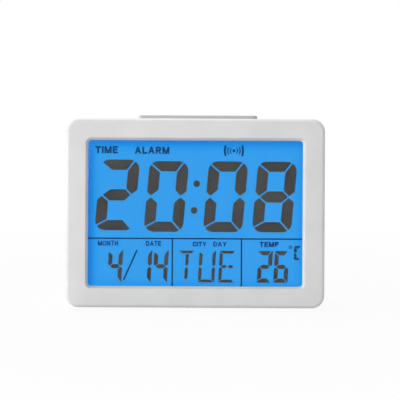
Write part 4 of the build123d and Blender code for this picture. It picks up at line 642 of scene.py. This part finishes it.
# Contact strip: silicone with fine black conducting stripes, pressed between the glass and the main board.
# The stripes are far finer than the pads, so that it needs no lining up.
STRIPE_DEPTH = 0.05


def striped(name, scale, stops, roughness, relief=0.0):
    """Even stripes across the clock, as (position, colour) stops over each, and their relief if any."""
    finish, tree, shader, place = new_finish(name)
    stripes = add_node(tree, "ShaderNodeTexWave", {"Vector": place, "Scale": scale}).node.outputs["Fac"]
    set_inputs(tree, shader, {"Base Color": add_ramp(tree, stripes, stops), "Roughness": roughness})
    if relief:
        set_inputs(tree, shader, {"Normal": add_bump(tree, stripes, relief, STRIPE_DEPTH)})
    return finish


SILICONE_TONES = ((0.45, (0.02, 0.02, 0.02)), (0.55, (0.6, 0.28, 0.32)))
dress(striped("striped_silicone", 300, SILICONE_TONES, 0.7), "contact_strip")

# Main board: glass-epoxy board with the bonded controller, the voice memory, crystal, capacitors and sensor.
# It is screwed to the back of the display holder. The talk board and the key board are of the same kind.
dress(board_green, "main_board", "talk_board", "key_board")
dress(moulded("black_resin", (0.018, 0.018, 0.02), 0.22, 0.1, 500, 0.2), "controller_blob")
dress(moulded("chip_package", (0.03, 0.03, 0.032), 0.6, 0.1, 3000), "voice_chip")
dress(metal("drawn_can", (0.75, 0.76, 0.78), 0.25, (1, 8, 8)), "quartz_crystal", "capacitors")
dress(moulded("sensor_resin", (0.12, 0.25, 0.1), 0.3, 0.08, 700), "temperature_sensor")

# Rear cover: the tapering rear half of the case, in the same white ABS, screwed to the display holder.
# Its grille, key holes, battery bay and foot seats are moulded in.
dress(white_abs, "rear_cover")

# Grille rims: each sound hole of the rear cover has a narrow raised rim moulded round it.
# The holes lie on rings about the loudspeaker's axis, six more on each ring.
GRILLE_RINGS, HOLES_PER_RING = 4, 6
RING_PITCH, RIM_RADIUS, RIM_THICKNESS = 3.6, 1.02, 0.14
RIM_SIDES, RIM_SECTION_SIDES = 20, 6
panel_depth = span("rear_cover", BACK)[1]


def add_circle(tree, sides, radius):
    """Round line to follow, or to carry along another line as its section."""
    return add_node(tree, "GeometryNodeCurvePrimitiveCircle", {"Resolution": sides, "Radius": radius})


def grille_tree():
    """Rims on rings of holes: a centre one and further rings, on a plane across the speaker's axis."""
    tree, given, labels = new_tree("grille_rims", "Ring Pitch", "Rim Radius", "Rim Thickness", "Finish")
    holes = [add_node(tree, "GeometryNodePoints", {})]
    for ring in range(1, GRILLE_RINGS):
        circle = add_node(tree, "GeometryNodeMeshCircle", {
            "Vertices": HOLES_PER_RING * ring,
            "Radius": add_maths(tree, "MULTIPLY", given["Ring Pitch"], ring),
        })
        holes.append(add_node(tree, "GeometryNodeMeshToPoints", {"Mesh": circle}))
    rim = add_node(tree, "GeometryNodeCurveToMesh", {
        "Curve": add_circle(tree, RIM_SIDES, given["Rim Radius"]),
        "Profile Curve": add_circle(tree, RIM_SECTION_SIDES, given["Rim Thickness"]),
    })
    placed = add_node(tree, "GeometryNodeInstanceOnPoints", {
        "Points": add_node(tree, "GeometryNodeJoinGeometry", {"Geometry": holes}),
        "Instance": add_node(tree, "GeometryNodeSetShadeSmooth", {"Geometry": rim}),
    })
    end_tree(tree, given, placed)
    return tree, labels


def middle(node, way):
    """Halfway millimetres of a node to the right, behind the face or up the face."""
    return sum(span(node, way)) / 2


def placement(place, x_way, y_way, z_way):
    """Matrix that turns a mesh's own axes to three directions and takes it to a place."""
    return Matrix.Translation(place) @ Matrix((x_way, y_way, z_way)).transposed().to_4x4()


rims = grown_mesh("grille_rims", *grille_tree(), {
    "Ring Pitch": RING_PITCH * MM,
    "Rim Radius": RIM_RADIUS * MM,
    "Rim Thickness": RIM_THICKNESS * MM,
    "Finish": white_abs,
})
speaker_at = on_clock(middle("speaker_cone", RIGHT), panel_depth, middle("speaker_cone", UP))
rims.transform(placement(speaker_at, -RIGHT, UP, BACK))
as_piece("grille_rims", rims, white_abs, "case")

# Words on the rear cover: grey pad-printed ink above each key and above both ends of the alarm slide.
# The film of ink is very thin and stands on the panel's grain.
PRINT_SINK, PRINT_PROUD, PRINT_GAP = 0.03, 0.05, 1.6
PRINT_WEIGHT, LETTER_HEIGHT, LETTER_PITCH = 0.15, 2.0, 1.75
OFF_ASIDE, ON_ASIDE = 2.4, 1.6
KEY_NAMES = ("mode", "set", "up", "down", "alarm")
print_base, print_top = panel_depth - PRINT_SINK, panel_depth + PRINT_PROUD
print_ink = moulded("print_ink", (0.07, 0.07, 0.075), 0.62, 0.12, 1800, 0.05)


def print_word(word, middle_x, low, body, height=LETTER_HEIGHT):
    """Word to be read from behind, centred on an x, with its foot at a height, on a body of the clock."""
    name = "print_" + word
    half = len(word) * LETTER_PITCH * height / LETTER_HEIGHT / 2
    box = (middle_x + half, middle_x - half, low, low + height)
    mesh = lettering(name, word.upper(), box, print_base, print_top, PRINT_WEIGHT, print_ink)
    as_piece(name, mesh, print_ink, body)


for key in KEY_NAMES:
    word_low = span(key + "_key", UP)[1] + PRINT_GAP
    print_word(key, middle(key + "_key", RIGHT), word_low, "case")
knob_x = middle("alarm_switch_knob", RIGHT)
slide_travel = joints["alarm_switch_slide"]["range_m"][1] / MM
print_word("off", knob_x - OFF_ASIDE, word_low, "case")
print_word("on", knob_x + slide_travel + ON_ASIDE, word_low, "case")

# Talk bar: the long pale grey bar on the top edge, pressed to hear the time.
# Its satin grey is painted white at the rounded left end: a painted highlight where the lamp at the left
# lights that end.
# Two springs of round steel wire hold it up, and it presses a push switch on its own board.
HIGHLIGHT_EDGE, HIGHLIGHT_FADE = -29.7, 0.15
talk_bar_grey_highlit = moulded("talk_bar_grey_highlit", (0.5, 0.5, 0.5), 0.42)
tree = talk_bar_grey_highlit.node_tree
# Painted highlight: left of this x the grey turns white, standing for the left lamp's light on the bar's end.
painted_highlight_end = add_range(tree, x_place(tree), (HIGHLIGHT_EDGE + HIGHLIGHT_FADE) * MM, (HIGHLIGHT_EDGE - HIGHLIGHT_FADE) * MM)
add_second_tone(tree, painted_highlight_end, ABS_WHITE)
dress(talk_bar_grey_highlit, "talk_bar")
SPRING_TURNS, TURN_STEPS, WIRE_SIDES, WIRE_RADIUS = 5, 28, 10, 0.3
spring_wire = metal("spring_wire", (0.6, 0.6, 0.62), 0.25, grain=1500)
dress(spring_wire, "battery_springs")


def spring_tree():
    """Two open coils of round wire that stand on a plane, one on each side of its middle."""
    tree, given, labels = new_tree("spring_pair", "Coil Radius", "Wire Radius", "Climb", "Spread", "Finish")
    coil = add_node(tree, "GeometryNodeCurveSpiral", {
        "Resolution": TURN_STEPS,
        "Rotations": SPRING_TURNS,
        "Start Radius": given["Coil Radius"],
        "End Radius": given["Coil Radius"],
        "Height": given["Climb"],
    })
    wire = add_node(tree, "GeometryNodeCurveToMesh", {
        "Curve": coil,
        "Profile Curve": add_circle(tree, WIRE_SIDES, given["Wire Radius"]),
        "Fill Caps": True,
    })
    smooth = add_node(tree, "GeometryNodeSetShadeSmooth", {"Geometry": wire})
    pair = []
    for side in (-1, 1):
        aside = add_maths(tree, "MULTIPLY", given["Spread"], side)
        foot = add_node(tree, "ShaderNodeCombineXYZ", {"X": aside})
        pair.append(add_node(tree, "GeometryNodeTransform", {"Geometry": smooth, "Translation": foot}))
    end_tree(tree, given, add_node(tree, "GeometryNodeJoinGeometry", {"Geometry": pair}))
    return tree, labels


springs_left, springs_right = span("talk_bar_springs", RIGHT)
springs_front, springs_rear = span("talk_bar_springs", BACK)
springs_low, springs_top = span("talk_bar_springs", UP)
coil_radius = (springs_rear - springs_front) / 2 - WIRE_RADIUS
springs = grown_mesh("talk_springs", *spring_tree(), {
    "Coil Radius": coil_radius * MM,
    "Wire Radius": WIRE_RADIUS * MM,
    "Climb": (springs_top - springs_low - 2 * WIRE_RADIUS) * MM,
    "Spread": ((springs_right - springs_left) / 2 - coil_radius - WIRE_RADIUS) * MM,
    "Finish": spring_wire,
})
springs_foot = on_clock(0, middle("talk_bar_springs", BACK), springs_low)
springs.transform(placement(springs_foot + UP * WIRE_RADIUS * MM, RIGHT, BACK, UP))
talk_springs = as_piece("talk_springs", springs, spring_wire, "case")
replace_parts(talk_springs, "talk_bar_springs")
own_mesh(talk_springs)
switch_black = moulded("switch_black", (0.025, 0.025, 0.026), 0.5, 0.1, 1500)
plunger_grey = moulded("plunger_grey", (0.3, 0.3, 0.31), 0.45, 0.05, 1500)
dress(switch_black, "talk_switch", "key_switches")
dress(plunger_grey, "talk_switch_plunger")

# Rear keys: five small grey caps that stand out of the rear panel, each on the plunger of its push switch.
# They are moulded in grey ABS and kept in by a flange behind the panel.
key_abs = moulded("key_abs", (0.32, 0.32, 0.33), 0.44)
for key in KEY_NAMES:
    dress(key_abs, key + "_key")
    dress(plunger_grey, key + "_key_plunger")

# Alarm slide: a switch in a metal can with a ribbed black knob that slides between off and on.
# The can is folded from tinned sheet steel and soldered to the key board.
dress(metal("tinned_can", (0.62, 0.62, 0.6), 0.32), "alarm_switch_body")
dress(switch_black, "alarm_switch_knob")

# Loudspeaker: pressed steel basket, ferrite ring magnet and yoke, and a paper cone on a rubber surround.
# It is held against the grille by three washer-headed screws.
dress(metal("basket_steel", (0.5, 0.5, 0.52), 0.4), "speaker_basket")
dress(moulded("ferrite", (0.045, 0.043, 0.042), 0.55, 0.15, 1200, 0.2), "speaker_magnet")
dress(metal("yoke_zinc", (0.6, 0.6, 0.58), 0.35), "speaker_yoke")
dress(moulded("cone_paper", (0.06, 0.055, 0.05), 0.85, 0.2, 900, 0.3), "speaker_cone")
dress(moulded("surround_rubber", (0.02, 0.02, 0.02), 0.6, 0.1, 1400), "speaker_surround")

# Battery contacts: nickel-plated spring steel plates in slots at both ends of the bay.
# Each link plate joins two neighbouring cells.
dress(metal("contact_nickel", (0.68, 0.65, 0.58), 0.24, (1, 4, 4)), "battery_contacts")

# Battery cells: three AAA cells in a plain sleeve, laid head to tail in the bay.
# Each is a drawn steel can with a raised positive end, crimped at the other end and wrapped in printed film.
CELL_COUNT, CELL_SIDES, CELL_CREASE = 3, 32, math.radians(35)
CELL_LENGTH, CELL_R = 44.5, 5.25
NUB_LENGTH, NUB_R = 1.2, 1.9
SHOULDER = CELL_LENGTH - NUB_LENGTH
# Each point of the profile has its distance along the cell and its radius.
CELL_PROFILE = (
    (0.0, 0.0), (0.0, 3.6), (0.25, 3.9), (0.25, 4.5), (0.1, 4.8), (0.25, CELL_R - 0.1), (0.6, CELL_R),
    (SHOULDER - 0.5, CELL_R), (SHOULDER - 0.1, CELL_R - 0.25), (SHOULDER, CELL_R - 0.8),
    (SHOULDER - 0.3, CELL_R - 1.4), (SHOULDER - 0.2, NUB_R + 0.4), (SHOULDER, NUB_R),
    (CELL_LENGTH - 0.25, NUB_R), (CELL_LENGTH, NUB_R - 0.3), (CELL_LENGTH, 0.0),
)


def lathed_cell():
    """One cell along its own X from the flat end, with how far along it each point lies."""
    shape = bmesh.new()
    far = shape.verts.layers.float.new("along")
    rings = []
    for along, radius in CELL_PROFILE:
        ring = []
        for side in range(CELL_SIDES if radius else 1):
            turn = 2 * math.pi * side / CELL_SIDES
            spot = shape.verts.new(Vector((along, radius * math.cos(turn), radius * math.sin(turn))) * MM)
            spot[far] = along / CELL_LENGTH
            ring.append(spot)
        rings.append(ring)
    for ring, after in zip(rings, rings[1:]):
        for side in range(CELL_SIDES):
            corners = [ring[side % len(ring)], ring[(side + 1) % len(ring)]]
            corners += [after[(side + 1) % len(after)], after[side % len(after)]]
            shape.faces.new(list(dict.fromkeys(corners)))
    return solid_mesh("one_cell", shape)


def cell_tree():
    """Cells side by side up the face, every second one turned end for end."""
    tree, given, labels = new_tree("cell_row", "Geometry", "Cell Pitch", "Cell Length", "Finish")
    cells = []
    for row in range(CELL_COUNT):
        turned = row % 2 == 1
        shift = {
            "X": add_maths(tree, "MULTIPLY", given["Cell Length"], 0.5 if turned else -0.5),
            "Z": add_maths(tree, "MULTIPLY", given["Cell Pitch"], row - (CELL_COUNT - 1) / 2),
        }
        cells.append(add_node(tree, "GeometryNodeTransform", {
            "Geometry": given["Geometry"],
            "Translation": add_node(tree, "ShaderNodeCombineXYZ", shift),
            "Rotation": (0, 0, math.pi if turned else 0),
        }))
    end_tree(tree, given, add_node(tree, "GeometryNodeJoinGeometry", {"Geometry": cells}))
    return tree, labels


SLEEVE, SLEEVE_BAND, BARE_STEEL = (0.05, 0.09, 0.14), (0.55, 0.57, 0.6), (0.7, 0.7, 0.7)
FILM_TONES = (
    (0.0, BARE_STEEL), (0.008, BARE_STEEL), (0.009, SLEEVE), (0.76, SLEEVE), (0.765, SLEEVE_BAND),
    (0.8, SLEEVE_BAND), (0.805, SLEEVE), (0.966, SLEEVE), (0.969, BARE_STEEL),
)
FILM_BARE = [(position, (float(tone is BARE_STEEL),) * 3) for position, tone in FILM_TONES]
SCUFF_RELIEF, SCUFF_DEPTH = 0.06, 0.02
cell_film, tree, shader, place = new_finish("cell_film")
along = add_node(tree, "ShaderNodeAttribute", {}, attribute_name="along").node.outputs["Fac"]
scuffs = add_noise(tree, place, 500, 4)
set_inputs(tree, shader, {
    "Base Color": add_ramp(tree, along, FILM_TONES),
    "Metallic": add_ramp(tree, along, FILM_BARE),
    "Roughness": add_gloss(tree, scuffs, 0.24, 0.36),
    "Normal": add_bump(tree, scuffs, SCUFF_RELIEF, SCUFF_DEPTH),
})
cells_low, cells_top = span("battery_cells", UP)
cell_pitch = (cells_top - cells_low - 2 * CELL_R) / (CELL_COUNT - 1)
cell_sizes = {"Cell Pitch": cell_pitch * MM, "Cell Length": CELL_LENGTH * MM, "Finish": cell_film}
cells = grown_mesh("cells", *cell_tree(), cell_sizes, lathed_cell())
cells_at = on_clock(*[middle("battery_cells", way) for way in (RIGHT, BACK, UP)])
cells.transform(placement(cells_at, RIGHT, BACK, UP))
cells.shade_smooth()
cells.set_sharp_from_angle(angle=CELL_CREASE)
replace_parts(as_piece("cells", cells, cell_film, "case"), "battery_cells")

# Battery door: the white ABS lid over the bay, hinged along its lower edge, with a finger notch at the top.
# An opening mark is pad-printed on it below the notch.
OPEN_DROP, OPEN_HEIGHT = 21.0, 2.4
ARROW_HALF, ARROW_RISE, ARROW_LIFT = 2.2, 3.0, 4.0
dress(white_abs, "battery_door")
door_x = middle("battery_door", RIGHT)
open_low = span("battery_door", UP)[1] - OPEN_DROP
print_word("open", door_x, open_low, "battery_door", OPEN_HEIGHT)
arrow_low, arrow_top = open_low + ARROW_LIFT, open_low + ARROW_LIFT + ARROW_RISE
arrow_edges = [[(door_x + side * ARROW_HALF, arrow_low), (door_x, arrow_top)] for side in (-1, 1)]
arrow_shape = bmesh.new()
add_band(arrow_shape, *arrow_edges, print_base, print_top)
as_piece("print_arrow", solid_mesh("print_arrow", arrow_shape), print_ink, "battery_door")

# Leads and ribbons inside: PVC-sleeved stranded wire and flat ribbon, soldered at both ends.
# They join the boards, the loudspeaker and the battery contacts.
dress(moulded("wire_sleeve", (0.35, 0.02, 0.02), 0.4, 0.05, 900), "battery_leads", "speaker_leads")
RIBBON_TONES = ((0.1, (0.22, 0.22, 0.23)), (0.6, (0.4, 0.4, 0.41)))
dress(striped("ribbon_grey", 120, RIBBON_TONES, 0.5, 0.3), "board_ribbons")

# Feet: four dark rubber pads pressed into seats in the sloped underside.
# They are moulded rubber with a matt, slightly dusty face.
dress(moulded("foot_rubber", (0.035, 0.035, 0.036), 0.8, 0.15, 1500, 0.2), "rubber_feet")

# Studio: a plain pale table top, a soft lamp at the left, weaker ones in front and above, and a white room.
# The table and the room show white to the camera, and the table keeps a faint shadow.
# Their sizes are in metres, unlike those of the clock, which are in millimetres.
TABLE_HALF, TABLE_SPECKLE = 20.0, 40
TABLE_TONES = ((NOISE_LOW, (0.69, 0.69, 0.69)), (NOISE_HIGH, (0.71, 0.71, 0.71)))
SHADOW_REACH, WHITE_FROM, SHADOW_SHARE = 0.1, 0.35, 0.94
ROOM_LIGHT = 0.455
bpy.context.scene.view_settings.view_transform = "Standard"


def seen_as_white(tree):
    """One where a ray comes straight from the camera, a mirror or a clear plate, and nought elsewhere."""
    rays = tree.nodes.new("ShaderNodeLightPath").outputs
    sharp = add_maths(tree, "MAXIMUM", rays["Is Glossy Ray"], rays["Is Transmission Ray"])
    return add_maths(tree, "MAXIMUM", rays["Is Camera Ray"], sharp)


table_white, tree, shader, place = new_finish("table_white")
set_inputs(tree, shader, {
    "Base Color": add_ramp(tree, add_noise(tree, place, TABLE_SPECKLE, 2), TABLE_TONES),
    "Roughness": 0.9,
    "Specular IOR Level": 0.0,
})
from_clock = add_node(tree, "ShaderNodeVectorMath", {0: place}, operation="LENGTH")
whiteness = add_range(tree, from_clock, SHADOW_REACH, WHITE_FROM, SHADOW_SHARE, 1.0)
table_top = add_node(tree, "ShaderNodeMixShader", {
    "Fac": add_maths(tree, "MULTIPLY", seen_as_white(tree), whiteness),
    1: shader.outputs["BSDF"],
    2: add_node(tree, "ShaderNodeEmission", {}),
})
set_inputs(tree, tree.nodes["Material Output"], {"Surface": table_top})
table_corners = [(x * TABLE_HALF, y * TABLE_HALF, 0) for x, y in ((-1, -1), (1, -1), (1, 1), (-1, 1))]
table_mesh = bpy.data.meshes.new("table_top")
table_mesh.from_pydata(table_corners, [], [range(len(table_corners))])
table_mesh.materials.append(table_white)
table = bpy.data.objects.new("table_top", table_mesh)
bpy.context.scene.collection.objects.link(table)
table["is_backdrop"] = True

room = bpy.data.worlds.new("white_room")
room.use_nodes = True
bpy.context.scene.world = room
tree = room.node_tree
room_light = {"Value": seen_as_white(tree), "To Min": ROOM_LIGHT, "To Max": 1.0}
set_inputs(tree, tree.nodes["Background"], {
    "Color": (1, 1, 1, 1),
    "Strength": add_node(tree, "ShaderNodeMapRange", room_light),
})

LAMP_SIZE = 0.5
LAMPS = (
    ("left_lamp", (-1.45, -0.39, 0.45), 11.7),
    ("front_lamp", (-0.39, -1.45, 0.45), 4.1),
    ("top_lamp", (-0.2, 0.35, 1.3), 7.0),
)
lamp_aim = on_clock(0, 10, 50)
for name, lamp_at, watts in LAMPS:
    lamp = bpy.data.lights.new(name, "AREA")
    lamp.size = LAMP_SIZE
    lamp.energy = watts
    holder = bpy.data.objects.new(name, lamp)
    holder.location = lamp_at
    holder.rotation_euler = (lamp_aim - Vector(lamp_at)).to_track_quat("-Z", "Y").to_euler()
    bpy.context.scene.collection.objects.link(holder)

# Camera: square on to the leaning face, as in the photograph, rolled by three tenths of a degree.
# Its frame is 211 mm wide at the face.
VIEW_X, VIEW_HEIGHT, VIEW_AWAY = 2.44, 56.96, 900.0
SENSOR_WIDTH, FOCAL_LENGTH = 36.0, 153.55
ROLL = math.radians(0.3)
view_right = RIGHT * math.cos(ROLL) + UP * math.sin(ROLL)
view_up = UP * math.cos(ROLL) - RIGHT * math.sin(ROLL)
camera_data = bpy.data.cameras.new("clock_view")
camera_data.sensor_width = SENSOR_WIDTH
camera_data.lens = FOCAL_LENGTH
camera = bpy.data.objects.new("clock_view", camera_data)
camera.matrix_world = placement(on_clock(VIEW_X, -VIEW_AWAY, VIEW_HEIGHT), view_right, view_up, -BACK)
bpy.context.scene.collection.objects.link(camera)
bpy.context.scene.camera = camera

low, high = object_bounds()
